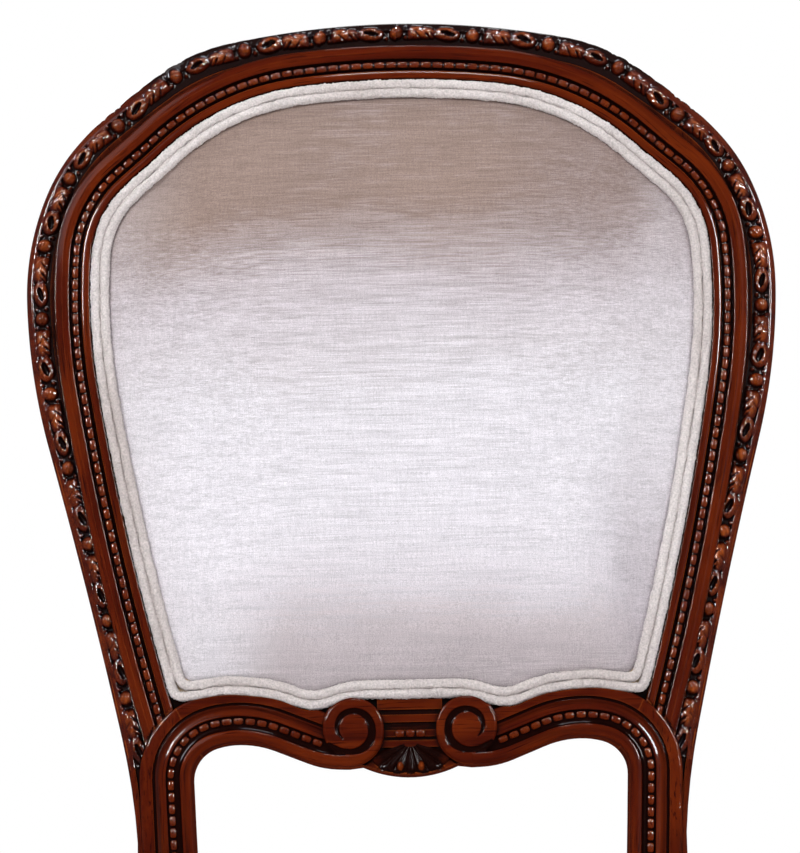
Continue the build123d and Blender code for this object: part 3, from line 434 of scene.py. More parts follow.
# %% Velvet finishes
def velvet(name, shade=None, light=None, slubs=1.0, pile_depth=0.0004, grain=1700):
    """Velvet with fine slubs; with no tones of its own it takes the painted shade and sheen of the back."""
    finish, tree, shader = new_finish(name)
    weft = stretched_noise(tree, (42, 1500, 1500), 2)
    warp = stretched_noise(tree, (1500, 110, 110), 2)
    broad = stretched_noise(tree, (14, 300, 300), 3)
    cloud = stretched_noise(tree, (9, 9, 9), 3)
    grains = stretched_noise(tree, (grain, grain, grain), 1)
    if shade is None:
        # The back's colour is painted shade and sheen.
        colour = painted_sheen_and_shade(tree, {"cloud": cloud, "weft": weft, "broad": broad})
    else:
        colour = blend_colours(tree, ramp(tree, cloud, (0.3, 0.0), (0.7, 1.0)), shade, light)
    for pattern, low, share in ((weft, 0.79, 0.85), (warp, 0.87, 0.75), (broad, 0.87, 0.85)):
        tone = ramp(tree, pattern, (0.3, low), (0.58, 1.0), (0.75, 1.04))
        colour = blend_colours(tree, share * slubs, colour, tone, "MULTIPLY")
    tone = ramp(tree, grains, (0.28, 0.74), (0.55, 1.0), (0.75, 1.14))
    colour = blend_colours(tree, 0.85, colour, tone, "MULTIPLY")
    threads = add(tree, "Bump", Strength=0.14 * slubs, Distance=0.0006, Height=weft)
    pile = add(tree, "Bump", Strength=0.3, Distance=pile_depth, Height=grains, Normal=threads.outputs[0])
    feed(tree, shader, Base_Color=colour, Normal=pile.outputs[0], Roughness=0.8)
    feed(tree, shader, Specular_IOR_Level=0.0, Sheen_Weight=0.3, Sheen_Roughness=0.4)
    return finish


BACK_VELVET = velvet("velvet_back")
SEAT_VELVET = velvet("velvet_seat", CLOTH_SHADE, CLOTH_LIGHT)
WELT_VELVET = velvet("velvet_welt", WELT_SHADE, WELT_LIGHT, slubs=0.25, pile_depth=0.0012, grain=850)
print("velvets", [m.name for m in (BACK_VELVET, SEAT_VELVET, WELT_VELVET)])

# %% [markdown]
# ### Plain finishes
# Hidden and small things still get their own surface: bare beech blocks, plywood, jute, black dust
# cloth, steel screws and nylon glides.

# %% Plain finishes
def plain_finish(name, dark, light, scale, roughness, metal=0.0, bump_strength=0.2):
    """A finish that drifts between two tones, with a matching bump."""
    finish, tree, shader = new_finish(name)
    pattern = stretched_noise(tree, scale, 4)
    colour = ramp(tree, pattern, (0.3, dark + (1,)), (0.7, light + (1,)))
    bump = add(tree, "Bump", Strength=bump_strength, Distance=0.0005, Height=pattern).outputs[0]
    feed(tree, shader, Base_Color=colour, Normal=bump, Roughness=roughness, Metallic=metal)
    return finish


BLACK, SOFT_BLACK = (0.012, 0.012, 0.012), (0.035, 0.035, 0.035)
BEECH = plain_finish("beech", (0.4, 0.25, 0.14), (0.55, 0.38, 0.23), (20, 400, 400), 0.6)
PLYWOOD = plain_finish("plywood", (0.4, 0.27, 0.15), (0.55, 0.4, 0.25), (30, 300, 30), 0.65)
STUFFING = plain_finish("stuffing", (0.7, 0.62, 0.4), (0.85, 0.78, 0.58), (900, 900, 900), 0.9)
JUTE = plain_finish("jute", (0.27, 0.18, 0.09), (0.45, 0.33, 0.18), (700, 700, 700), 0.9)
DUST_CLOTH = plain_finish("dust_cloth", BLACK, SOFT_BLACK, (1200, 1200, 1200), 0.9)
STEEL = plain_finish("zinc_steel", (0.45, 0.45, 0.46), (0.6, 0.6, 0.6), (500, 500, 500), 0.32, 1.0, 0.05)
NYLON = plain_finish("nylon", (0.03, 0.02, 0.015), (0.05, 0.035, 0.025), (800, 800, 800), 0.5)

SLOT_FINISH = {
    "mahogany": UPRIGHT_WOOD, "beech": BEECH, "plywood": PLYWOOD, "velvet": BACK_VELVET,
    "piping": WELT_VELVET, "stuffing": STUFFING, "jute": JUTE, "dust_cloth": DUST_CLOTH,
    "steel": STEEL, "nylon": NYLON,
}
NODE_FINISH = {
    "crest_rail": LEVEL_WOOD, "lower_back_rail": LEVEL_WOOD, "front_seat_rail": LEVEL_WOOD,
    "rear_seat_rail": LEVEL_WOOD, "right_seat_rail": SIDE_WOOD, "left_seat_rail": SIDE_WOOD,
}
for part in frame["record"]["subparts"]:
    solid = frame["nodes"][part["node"]]
    solid.data.materials.clear()
    solid.data.materials.append(NODE_FINISH.get(part["node"], SLOT_FINISH[part["material_slot"]]))
print("finished", len(frame["nodes"]), "solids")

# %% [markdown]
# ## Making pieces
# A piece is a mesh in the chair's own frame. One helper builds a mesh from points and faces, shades
# it smooth, lets it ride on the chair and gives it its finish.

# %% Helper for pieces
def new_object(name, data):
    """An object in the scene."""
    obj = bpy.data.objects.new(name, data)
    bpy.context.scene.collection.objects.link(obj)
    return obj


def piece(name, points, faces, finish):
    """A piece from points, in metres, and faces."""
    mesh = bpy.data.meshes.new(name)
    mesh.from_pydata([tuple(p) for p in points], [], [tuple(int(i) for i in f) for f in faces])
    mesh.update()
    return dress(new_object(name, mesh), finish)


def dress(obj, finish):
    """Smooth, paint and turn out a piece, and let it ride on the chair."""
    obj.data.materials.clear()
    obj.data.materials.append(finish)
    for face in obj.data.polygons:
        face.use_smooth = True
    shape = bmesh.new()
    shape.from_mesh(obj.data)
    bmesh.ops.recalc_face_normals(shape, faces=shape.faces)
    shape.to_mesh(obj.data)
    shape.free()
    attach(obj, "root")
    return obj


def grid_faces(rows, columns, round_rows=False, round_columns=False):
    """Quads over a grid of points kept row by row, closed on itself where asked."""
    faces = []
    for row in range(rows if round_rows else rows - 1):
        for column in range(columns if round_columns else columns - 1):
            here, below = row * columns, (row + 1) % rows * columns
            right = (column + 1) % columns
            faces.append((here + column, here + right, below + right, below + column))
    return faces


def carved_skin(name, points, faces, glaze_and_shade, wear_and_highlight=None, finish=CARVED_WOOD, grain=None):
    """A carved piece whose points carry their glaze and painted shade, how far they are painted lighter for
    wear and highlight, and their grain.
    """
    skin = piece(name, points, faces, finish)
    for key, values in (("glaze_and_shade", glaze_and_shade), ("wear_and_highlight", wear_and_highlight)):
        if values is not None:
            layer = skin.data.attributes.new(key, "FLOAT", "POINT")
            layer.data.foreach_set("value", np.asarray(values, np.float32).ravel())
    if grain is not None:
        layer = skin.data.attributes.new("grain", "FLOAT_VECTOR", "POINT")
        layer.data.foreach_set("vector", np.asarray(grain, np.float32).ravel())
    return skin


# %% [markdown]
# ## Mouldings
# The mouldings get their fine section here: crisp bands, a ridge along the dished band, and channels
# in which glaze and painted shade lie black. A section is a list of steps away from the edge, each with
# its level and how dark it is painted, by glaze with painted shade, and it is carried along the edge. A
# negative value paints the ridge lighter, as a painted highlight. Points that would cross another
# moulding are sunk.

# %% Sections of the mouldings
SUNK = -9.0
ARCH_WIDTH = 31.9
BAND_END = 6.8
BAND_RISE = (80, 53)
# The last column is glaze with painted shade: the channels are black, the dished band darkens towards its
# outer lip, and its ridge is lighter as a painted highlight.
SIGHT_SECTION = [
    (0.35, -1.0, 0), (0.6, -0.45, 0), (1.0, -0.2, 0), (1.7, -0.1, 0), (3.4, -0.04, 0), (5.0, -0.14, 0.1),
    (5.5, -0.5, 0.4), (5.8, -1.2, 1), (6.1, -3.45, 1), (7.3, -3.45, 1), (8.4, -2.1, 1), (9.6, -1.72, 1),
    (10.8, -2.1, 1), (11.9, -3.45, 1), (13.0, -3.45, 1), (13.3, -1.2, 1), (13.6, 0.0, 0.4),
    (14.1, 0.22, 0), (15.6, 0.3, 0), (17.2, 0.5, 0), (17.8, 0.66, -0.15), (18.4, 0.52, 0), (20.0, 0.3, 0.2),
    (21.6, 0.22, 0.3), (22.2, 0.1, 0.6), (22.35, -0.3, 1), (22.6, -1.6, 1), (22.8, -2.6, 1),
]
# The last column is glaze with painted shade: the channel is black and the cove darkens towards its outer
# side.
ARCH_SECTION = [
    (-0.15, -1.2, 0), (-0.1, -0.5, 0), (0.2, 0.22, 0), (0.7, 0.58, 0), (1.5, 0.74, 0),
    (6.2, 0.74, 0), (6.7, 0.4, 0.3), (6.9, -0.5, 1), (7.2, -1.6, 1),
    (9.8, -1.6, 1), (12.4, -1.6, 1), (15.0, -1.6, 1), (15.3, -0.8, 1), (15.6, 0.05, 0.3), (16.2, 0.1, 0),
    (17.6, -0.6, 0), (19.2, -1.0, 0.3), (20.6, -0.6, 0.5), (21.7, 0.3, 0.45), (22.0, 0.25, 0.6),
    (22.3, -0.6, 1), (23.4, -0.6, 1), (23.7, 0.4, 0.9),
]


def step_up(value, start, end):
    """A soft step from 0 at start to 1 at end."""
    share = np.clip((value - start) / (end - start), 0, 1)
    return share * share * (3 - 2 * share)


def moulding(name, run, section, outward, hidden, side=1, lift=None):
    """A section carried along a run; hidden points are sunk out of sight, lift raises some."""
    steps = np.array([(step, level, glaze_and_shade) for step, level, glaze_and_shade in section])
    flat = np.stack([beside(run, outward * step) for step in steps[:, 0]], axis=1)
    level = np.tile(steps[:, 1], (len(run), 1))
    if lift:
        level = level + lift(flat[..., 0], steps[:, 0])
    level = np.where(hidden(flat.reshape(-1, 2)).reshape(level.shape), SUNK, level)
    points = carved_points(flat, level, side)
    along, across = np.meshgrid(distances(run) * MM, steps[:, 0] * MM, indexing="ij")
    grain = np.stack([along, across, np.full_like(along, 0.1 * side)], axis=2)
    # Each point is painted dark by its step's glaze and shade, and its negative paints the ridge's
    # highlight.
    glaze_and_shade = np.tile(steps[:, 2], len(run))
    faces = grid_faces(len(run), len(steps))
    return carved_skin(name, points, faces, glaze_and_shade, -glaze_and_shade, MOULDED_WOOD, grain)


# %% [markdown]
# The moulding of the frame gives way to that of the arch where they cross, and the arch's runs behind
# the welt. Its outer band rises to flow into the scroll.

# %% Mouldings of the frame and the arch
def near_arch(flat):
    """Points that lie within the arch moulding of either side."""
    mirrored = np.column_stack([np.abs(flat[:, 0]), flat[:, 1]])
    gap = np.min(np.linalg.norm(mirrored[:, None, :] - arch_run[None, ::4, :], axis=2), axis=1)
    return gap < ARCH_WIDTH


def behind_welt(flat):
    """Points of the arch moulding that reach past the lower sight edge."""
    half = bottom_run[len(bottom_run) // 2:]
    edge = np.interp(np.abs(flat[:, 0]), half[:, 0], half[:, 1])
    return (flat[:, 1] > edge) & (np.abs(flat[:, 0]) < SIGHT_BOTTOM[-1][0])


def band_rise(across, step):
    """The band of the arch rises to flow into the scroll."""
    return np.where(step < BAND_END, step_up(across, *BAND_RISE), 0.0)


def run_past(half, reach):
    """A half outline run on straight past its end."""
    end = half[-1] - half[-2]
    return np.vstack([half, half[-1] + end / np.linalg.norm(end) * reach])


moulding_run = respaced(both_sides(run_past(sight_half, 48)), 1.5)
moulding("frame_moulding", moulding_run, SIGHT_SECTION, 1, near_arch)
arch_fine = respaced(arch_run, 1.2)
for side, word in SIDES:
    moulding(word + "_arch_moulding", arch_fine, ARCH_SECTION, -1, behind_welt, side, band_rise)
print("mouldings", len(moulding_run), "and", len(arch_fine), "steps")

# %% [markdown]
# ## Bead strings
# A string of barrel beads runs along the frame between two quirks, and a rounder one along the lower
# moulding. Geometry Nodes suit this: a curve is cut into equal steps, a bead is set on each, turned
# along the curve, and the size of the bead is an input.

# %% Bead tree
def bead_string_tree():
    """Nodes that set blunt beads along a line."""
    tree = bpy.data.node_groups.new("bead_string", "GeometryNodeTree")
    face = tree.interface
    face.new_socket("Line", in_out="INPUT", socket_type="NodeSocketGeometry")
    for name in ("Pitch", "Bead length", "Bead width", "Bluntness"):
        face.new_socket(name, in_out="INPUT", socket_type="NodeSocketFloat")
    face.new_socket("Finish", in_out="INPUT", socket_type="NodeSocketMaterial")
    face.new_socket("Beads", in_out="OUTPUT", socket_type="NodeSocketGeometry")

    def vectors(operation, *values):
        """The result of one sum on vectors."""
        return add(tree, "VectorMath", *values, operation=operation).outputs[0]

    given = add(tree, "NodeGroupInput").outputs
    pitch, bluntness, width = given["Pitch"], given["Bluntness"], given["Bead width"]
    steps = add(tree, "GeometryNodeResampleCurve", mode="LENGTH", Curve=given["Line"], Length=pitch)
    ball = add(tree, "GeometryNodeMeshUVSphere", Segments=12, Rings=8, Radius=1.0)
    place = add(tree, "GeometryNodeInputPosition").outputs[0]
    even = add(tree, "CombineXYZ", bluntness, bluntness, bluntness).outputs[0]
    blunt = vectors("POWER", vectors("ABSOLUTE", place), even)
    reach = vectors("MULTIPLY", blunt, vectors("SIGN", place))
    barrel = add(tree, "GeometryNodeSetPosition", Geometry=ball.outputs["Mesh"], Position=reach)
    sizes = add(tree, "CombineXYZ", width, width, given["Bead length"]).outputs[0]
    half = vectors("MULTIPLY", sizes, (0.5, 0.5, 0.5))
    along = add(tree, "GeometryNodeInputTangent").outputs[0]
    turn = add(tree, "FunctionNodeAlignRotationToVector", axis="Z", Vector=along).outputs[0]
    beads = add(
        tree, "GeometryNodeInstanceOnPoints",
        Points=steps.outputs[0], Instance=barrel.outputs[0], Rotation=turn, Scale=half,
    )
    solid = add(tree, "GeometryNodeRealizeInstances", beads.outputs[0]).outputs[0]
    painted = add(tree, "GeometryNodeSetMaterial", Geometry=solid, Material=given["Finish"])
    add(tree, "NodeGroupOutput", painted.outputs[0])
    return tree


BEAD_TREE = bead_string_tree()
print("bead tree", len(BEAD_TREE.nodes), "nodes")

# %% [markdown]
# A string is a line with the tree on it, and what the tree makes is kept as a plain mesh.

# %% One bead string
def bead_string(name, run, level, pitch, length, width, bluntness=0.6):
    """Beads along a line of (u, v) at one level of the back."""
    line = bpy.data.curves.new(name + "_line", "CURVE")
    line.dimensions = "3D"
    spline = line.splines.new("POLY")
    places = on_back(at_level(run, level))
    spline.points.add(len(places) - 1)
    spline.points.foreach_set("co", np.column_stack([places, np.ones(len(places))]).ravel())
    holder = new_object(name + "_line", line)
    modifier = holder.modifiers.new("beads", "NODES")
    modifier.node_group = BEAD_TREE
    values = {
        "Pitch": pitch * MM, "Bead length": length * MM, "Bead width": width * MM,
        "Bluntness": bluntness, "Finish": BEAD_WOOD,
    }
    for item in BEAD_TREE.interface.items_tree:
        if item.in_out == "INPUT" and item.name in values:
            modifier[item.identifier] = values[item.name]
    ready = holder.evaluated_get(bpy.context.evaluated_depsgraph_get())
    mesh = bpy.data.meshes.new_from_object(ready)
    bpy.data.objects.remove(holder)
    print(name, len(mesh.polygons), "faces")
    return dress(new_object(name, mesh), BEAD_WOOD)


# %% [markdown]
# Each string lies in the channel that its moulding leaves for it. The string of the arch ends at the
# scroll, and three beads stand alone on the middle of the lower rail.

# %% Bead strings of the frame
SIGHT_BEAD_AT = 9.8
ARCH_BEAD_AT = 12.4
ARCH_BEADS_END = 56
FRAME_BEAD_LEVEL = -2.1
ARCH_BEAD_LEVEL = -1.5
CENTRE_BEAD_LEVEL = -2.6
frame_run = respaced(beside(both_sides(run_past(sight_half, 17)), SIGHT_BEAD_AT), 2)
bead_string("frame_beads", frame_run, FRAME_BEAD_LEVEL, pitch=7.4, length=6.7, width=4.3, bluntness=0.55)
arch_bead_run = respaced(beside(arch_run, -ARCH_BEAD_AT), 1.5)
arch_bead_run = arch_bead_run[arch_bead_run[:, 0] > ARCH_BEADS_END]
for side, word in SIDES:
    mirrored = arch_bead_run * (side, 1)
    bead_string(word + "_arch_beads", mirrored, ARCH_BEAD_LEVEL, pitch=7.2, length=6.3, width=4.3)
centre_line = np.array([(-6.3, -191.6), (6.3, -191.6)])
bead_string("centre_beads", centre_line, CENTRE_BEAD_LEVEL, pitch=6.3, length=5.8, width=4.6)

# %% [markdown]
# ## Leaf frieze
# The sunk band inside the rim is carved with a round bead, a husk leaf and an open loop, again and
# again, in mirror image from the middle of the crest. It is one skin laid along the band: the height
# at each point follows from how far along the repeat it is and how far across.

# %% Carved heights
FRIEZE_AT = 8.9
CREST_FRIEZE_AT = 6.1
FRIEZE_FLOOR = -4.9
RIM_SECTION = ([0.6, 1.2, 2.2, 3.3, 4.6, 4.9], [-5.3, -4.4, -3.3, -2.45, -2.45, FRIEZE_FLOOR])
FRIEZE_REPEAT = 49.5
FRIEZE_STEP = 0.6
FRIEZE_ACROSS = np.concatenate([[0.1, 0.2], np.linspace(0.7, 5.0, 10), np.linspace(5.4, 15.4, 22)])
CREST_GROUND = -2.2
BEAD_HEIGHT, BEAD_RADIUS = 5.8, 4.8
HUSK_FROM, HUSK_LENGTH, HUSK_HEIGHT = 6.8, 19, 5.4
HUSK_CUTS = ((5.4, 1, 0.8), (11.6, 1, 1.0), (15.2, 1, 0.7), (8.0, -1, 0.5))
CUT_SLANT, CUT_WIDTH, CUT_DEPTH = 0.9, 0.8, 2.2
LOOP_AT, LOOP_HEIGHT, LOOP_DEPTH = 32.8, 5.2, 5.3
BUD_HEIGHT, BUD_RADIUS = 3.2, 1.6
BUDS = ((5.9, 3.5), (6.1, -3.5), (43.0, 3.2), (43.4, -3.3))


def dome(distance):
    """Height of a round form: 1 in its middle, 0 from its edge on."""
    return np.sqrt(np.clip(1 - distance ** 2, 0, 1))


def groove(across, width):
    """Depth of a fine cut: 1 along its middle, fading within its width."""
    return np.exp(-(across / width) ** 2)


def husk(along, across):
    """A plump leaf, broad at its head, with slanting cuts from its edges to its middle."""
    share = np.clip(along / HUSK_LENGTH, 0, 1)
    half = 5.3 - 1.2 * share
    ends = np.clip(1 - np.abs(2 * share - 1) ** 3.5, 0, 1) ** 0.5
    body = HUSK_HEIGHT * dome(across / half) ** 0.8 * ends
    cuts = np.zeros_like(body)
    for place, side, depth in HUSK_CUTS:
        slanted = along - place - CUT_SLANT * side * across
        cut = depth * groove(slanted, CUT_WIDTH) * step_up(side * across, -1.0, 1.6)
        cuts = np.maximum(cuts, cut)
    return body - CUT_DEPTH * cuts


def loop_leaf(along, across):
    """A curled leaf: two thick stems closing round a narrow hollow."""
    bend = 0.7 * np.sin(along * 0.33)
    outer = dome(np.hypot(along / 9.0, (across - 0.3 * bend) / 5.2)) ** 0.7
    hollow = dome(np.hypot((along - 0.6) / 4.6, (across - bend) / 1.8)) ** 0.6
    return LOOP_HEIGHT * outer - LOOP_DEPTH * hollow


def leaf_and_bead(along, across):
    """Carved height in millimetres; along wraps at each repeat, across is in millimetres."""
    across = (across + 0.5 * np.sin(0.083 * along + 1.3)) * (1 + 0.1 * np.sin(0.061 * along))
    phase = (along + FRIEZE_REPEAT / 2) % FRIEZE_REPEAT - FRIEZE_REPEAT / 2
    along = along % FRIEZE_REPEAT
    bead = BEAD_HEIGHT * dome(np.hypot(phase, across) / BEAD_RADIUS)
    forms = [bead, husk(along - HUSK_FROM, across), loop_leaf(along - LOOP_AT, across)]
    for place, side in BUDS:
        forms.append(BUD_HEIGHT * dome(np.hypot(along - place, across - side) / BUD_RADIUS))
    relief = np.maximum.reduce(forms)
    return relief * (1 + 0.1 * np.sin(1.7 * across + 0.9 * along) * np.sin(0.53 * along + 0.8))


# %% [markdown]
# The skin is bent round the outer edge of the back. It is painted dark where the carving is low, glaze
# with painted shade, and on the crest its rim is painted dark too, as shade. It is painted lighter where
# the carving stands proud, wear with painted highlight, and over the shoulders it lifts the outline a
# little.

# %% Frieze of each side
FRIEZE_END, FRIEZE_FADE = -212, 16
CREST_RANGE = (196, 246)
RIM_WIDTH = 4.7
SHOULDER_FROM, SHOULDER_TO = (185, 215), (258, 240)
SHOULDER_LIFT = 1.1


def frieze(name, side):
    """The carved skin of one half, from the crest's middle to the foot of the stile."""
    half = arc_chain(OUTER_OUTLINE, (1, 0))
    edge = respaced(half[half[:, 1] > FRIEZE_END], FRIEZE_STEP)
    normal = left_normals(edge)
    along = distances(edge)
    pattern = along if side > 0 else np.where(along < FRIEZE_REPEAT, FRIEZE_REPEAT - along, along)
    grid_along, reach = np.meshgrid(pattern, FRIEZE_ACROSS, indexing="ij")
    crest = step_up(edge[:, 1], *CREST_RANGE)
    middle = FRIEZE_AT + (CREST_FRIEZE_AT - FRIEZE_AT) * crest
    relief = leaf_and_bead(grid_along, reach - middle[:, None])
    relief *= np.clip((along[-1] - along) / FRIEZE_FADE, 0, 1)[:, None] ** 0.5
    ground = np.interp(reach, *RIM_SECTION)
    ground = np.where(reach < RIM_WIDTH, ground + (CREST_GROUND - ground) * crest[:, None], ground)
    height = np.maximum(ground, FRIEZE_FLOOR + relief)
    # Painted darkening, glaze with shade, where the carving is low and on the crest's rim; painted
    # lightening, wear with highlight, on the highest parts.
    shown = np.clip((FRIEZE_FLOOR + relief - ground) / 2.4 + 0.1, 0, 1) * np.clip(relief / 3.4, 0, 1)
    rim = step_up(reach, 5.0, 4.4) * (1 - crest[:, None])
    glaze_and_shade = 1 - np.maximum(shown, rim)
    wear_and_highlight = np.clip((relief - 3.7) / 1.6, 0, 1) * (1 - rim) * 0.75
    height[:, 0] -= 4.5
    height[:, -1] -= 0.6
    bold = relief[:, FRIEZE_ACROSS < 6].max(axis=1) / 5 * step_up(edge[:, 1], *SHOULDER_FROM)
    bold *= step_up(edge[:, 1], *SHOULDER_TO)
    reach = reach - SHOULDER_LIFT * bold[:, None] * np.clip(1 - reach / 4, 0, 1)
    flat = edge[:, None, :] - normal[:, None, :] * reach[:, :, None]
    faces = grid_faces(len(along), len(FRIEZE_ACROSS))
    return carved_skin(name, carved_points(flat, height, side), faces, glaze_and_shade, wear_and_highlight)


for side, word in SIDES:
    skin = frieze(word + "_frieze", side)
    print(skin.name, len(skin.data.polygons), "faces")

# %% [markdown]
# ## Scrolls of the lower rail
# Each end of the lower moulding winds into a scroll. Its face is a band that turns once and a half
# round a flat eye, with a groove that is widest below and runs out on the far side. The groove is
# shallow and painted black, as painted shade, and so is the strip where the band gives way to the arch.
# The groove's inner and outer reach are read off at a few bearings and the face is a relief over a
# polar grid.

# %% Scroll faces
VOLUTE_EYE = (34.9, -188.2)
VOLUTE_FLOOR = 1.6
VOLUTE_RISE = 1.7
GROOVE_BEARINGS = [-150, -135, -110, -90, -45, 0, 45, 90, 135, 180, 205, 225]
GROOVE_INNER = [16.9, 14.8, 13.2, 12.4, 10.6, 9.0, 8.9, 8.8, 8.8, 8.8, 8.9, 9.0]
GROOVE_OUTER = [17.2, 17.0, 16.6, 16.2, 15.7, 13.6, 13.0, 12.3, 12.2, 11.1, 10.2, 9.1]
GROOVE_EASE = 0.35
EDGE_BEARINGS = [-150, -130, -104, -90, -70, -45, -20, 0, 210]
EDGE_REACHES = [18.6, 18.6, 23.3, 22.85, 21.65, 20.25, 19.2, 18.7, 18.6]
BAND_MEETS_ARCH, BAND_LIFTS = -106, (-105, -50)
EYE_RADIUS, EYE_CROWN = 9.0, 0.35


def scroll_face(name, side):
    """The carved face of one scroll."""
    bearings = np.linspace(EDGE_BEARINGS[0], EDGE_BEARINGS[-1], 181)[:-1]
    bearing, share = np.meshgrid(bearings, np.linspace(0, 1, 54), indexing="ij")
    edge = np.interp(bearing, EDGE_BEARINGS, EDGE_REACHES)
    reach = share * edge
    cut = np.zeros_like(reach)
    for turn in (bearing, bearing + 360):
        inner = np.interp(turn, GROOVE_BEARINGS, GROOVE_INNER)
        outer = np.interp(turn, GROOVE_BEARINGS, GROOVE_OUTER)
        rising = step_up(reach, inner - GROOVE_EASE, inner + GROOVE_EASE)
        falling = step_up(reach, outer + GROOVE_EASE, outer - GROOVE_EASE)
        cut = np.maximum(cut, rising * falling * (turn <= GROOVE_BEARINGS[-1]))
    rounded = dome(np.clip((reach - edge + 1.6) / 1.7, 0, 1))
    start = np.interp(bearing, GROOVE_BEARINGS, GROOVE_OUTER)
    beyond = (reach > start) & (bearing < 120)
    lifted = np.where(beyond, step_up(bearing, *BAND_LIFTS), 1.0)
    crown = EYE_CROWN * dome(np.clip(reach / EYE_RADIUS, 0, 1))
    height = VOLUTE_FLOOR + (VOLUTE_RISE * rounded * lifted + crown) * (1 - cut)
    joined = beyond & (bearing < BAND_MEETS_ARCH)
    height = np.where(joined, VOLUTE_FLOOR, height)
    # The groove and the strip under the arch band are painted black, as painted shade.
    glaze_and_shade = np.where(joined, 1, cut)
    angle = np.radians(bearing)
    across, up = reach * np.cos(angle) - VOLUTE_EYE[0], reach * np.sin(angle) + VOLUTE_EYE[1]
    spread = np.stack([across, up], axis=-1)
    points = np.concatenate([spread * (side, 1), height[..., None]], axis=2).reshape(-1, 3)
    faces = grid_faces(len(bearings), reach.shape[1], round_rows=True)
    past_arch = distances(arch_fine)[-1] + arch_fine[-1, 0] - np.abs(points[:, 0])
    up_arch = points[:, 1] - arch_fine[-1, 1]
    grain = np.column_stack([past_arch, up_arch, np.full(len(points), -100.0 * side)]) * MM
    return carved_skin(name, on_back(points), faces, glaze_and_shade, None, MOULDED_WOOD, grain)


for side, word in ((1, "left"), (-1, "right")):
    print(word, "scroll", len(scroll_face(word + "_scroll_face", side).data.polygons), "faces")

# %% [markdown]
# ## Shell of the lower rail
# A small shell hangs between the two scrolls. Its petals spread from one point like a fan; each is a
# rounded ridge that thickens towards the edge. Glaze with painted shade lies black over it and between
# the petals, thinner on their outer ends, and the two drops are painted lighter.

# %% Shell petals
SHELL_TOP = (0.0, -197.0)
SHELL_LEVEL = -3.0
SHELL_PETALS = 7
SHELL_SPREAD = math.radians(74)
SHELL_REACH, SHELL_WIDENING = 18.6, 9.5
PETAL_HEIGHT, NOTCH_DEPTH = 2.8, 0.8
DROP_AT, DROP_SIZE, DROP_HEIGHT = (6.4, -211.8), (2.2, 3.0), 3.6


def shell_petals(name):
    """The fan of petals, with two small drops on it."""
    turns = np.linspace(-SHELL_SPREAD, SHELL_SPREAD, 99)
    shares = np.linspace(0.16, 1, 26)
    turn, share = np.meshgrid(turns, shares, indexing="ij")
    edge = SHELL_REACH + SHELL_WIDENING * np.abs(np.sin(turn)) ** 1.6
    reach = edge * share
    place = (turn / SHELL_SPREAD + 1) / 2 * SHELL_PETALS
    across = (place % 1 - 0.5) * 2
    ridge = dome(across * 1.04) * (0.5 + 0.5 * share)
    tip = dome(np.clip((share - 0.86) / 0.15, 0, 1))
    notch = 0.5 * groove(across, 0.16) * (share > 0.3) * (share < 0.8)
    relief = PETAL_HEIGHT * ridge * tip - NOTCH_DEPTH * notch
    spread = np.column_stack([(reach * np.sin(turn)).ravel(), (-reach * np.cos(turn)).ravel()]) + SHELL_TOP
    height = SHELL_LEVEL + np.clip(relief, 0, None)
    # Painted darkening, glaze with shade, lighter only on the outer ends of the petals; the drops are
    # painted lighter, wear with highlight.
    side_leaf = step_up(np.abs(turn), 0.75, 1.0)
    lightened_share = np.clip(relief / PETAL_HEIGHT, 0, 1) * (0.12 + 0.5 * side_leaf)
    glaze_and_shade = 1 - lightened_share * np.clip(share * 2.2 - 1.1, 0, 1)
    drop_across = (np.abs(spread[:, 0]) - DROP_AT[0]) / DROP_SIZE[0]
    drop_up = (spread[:, 1] - DROP_AT[1]) / DROP_SIZE[1]
    drop = dome(np.hypot(drop_across, drop_up)).reshape(glaze_and_shade.shape)
    height = np.maximum(height, SHELL_LEVEL + 0.8 + DROP_HEIGHT * drop * (drop > 0))
    height[:, -1] = SHELL_LEVEL - 1.5
    glaze_and_shade = np.minimum(glaze_and_shade, 1 - 1.2 * drop)
    points = np.column_stack([spread, height.ravel()])
    faces = grid_faces(len(turns), len(shares))
    return carved_skin(name, on_back(points), faces, glaze_and_shade, 0.7 * drop, SHELL_WOOD)


print("shell", len(shell_petals("shell_petals").data.polygons), "faces")

# %% [markdown]
# ## Welt cords
# Double welt is two covered cords sewn side by side. On the back it follows the sight edge and the
# scrolled bottom edge, so a closed line is put together first: both offset runs are cut where they
# cross, and the corner is eased. The cords are tubes with a little pile raised on them.

# %% Cord helpers
CORD_R = 2.95
CORD_STEP = 0.7
CORD_SIDES = 18
PILE = 0.24
LOOP_STEP = 0.6
EASE_ROUNDS = 90


def welt_loop(inset):
    """Closed line inside the sight opening, the given distance from its edge."""
    over = beside(both_sides(run_past(sight_half, 14)), -inset)
    low = beside(bottom_run, inset)
    end = bottom_run[-1] - bottom_run[-2]
    far = low[-1] + end / np.linalg.norm(end) * 20
    low = respaced(np.vstack([far * (-1, 1), low, far]), LOOP_STEP)
    over = respaced(over, LOOP_STEP)
    gap = np.linalg.norm(over[:, None, :] - low[None, :, :], axis=2)
    left_gap = np.where(low[None, :, 0] < 0, gap, np.inf)[: len(over) // 2]
    left_over, left_low = np.unravel_index(np.argmin(left_gap), left_gap.shape)
    right_over, right_low = len(over) - 1 - left_over, len(low) - 1 - left_low
    loop = np.vstack([over[left_over:right_over + 1], low[left_low:right_low + 1][::-1]])
    loop = respaced(np.vstack([loop, loop[:1]]), CORD_STEP)[:-1]
    for _ in range(EASE_ROUNDS):
        loop = 0.5 * loop + 0.25 * (np.roll(loop, 1, axis=0) + np.roll(loop, -1, axis=0))
    return loop


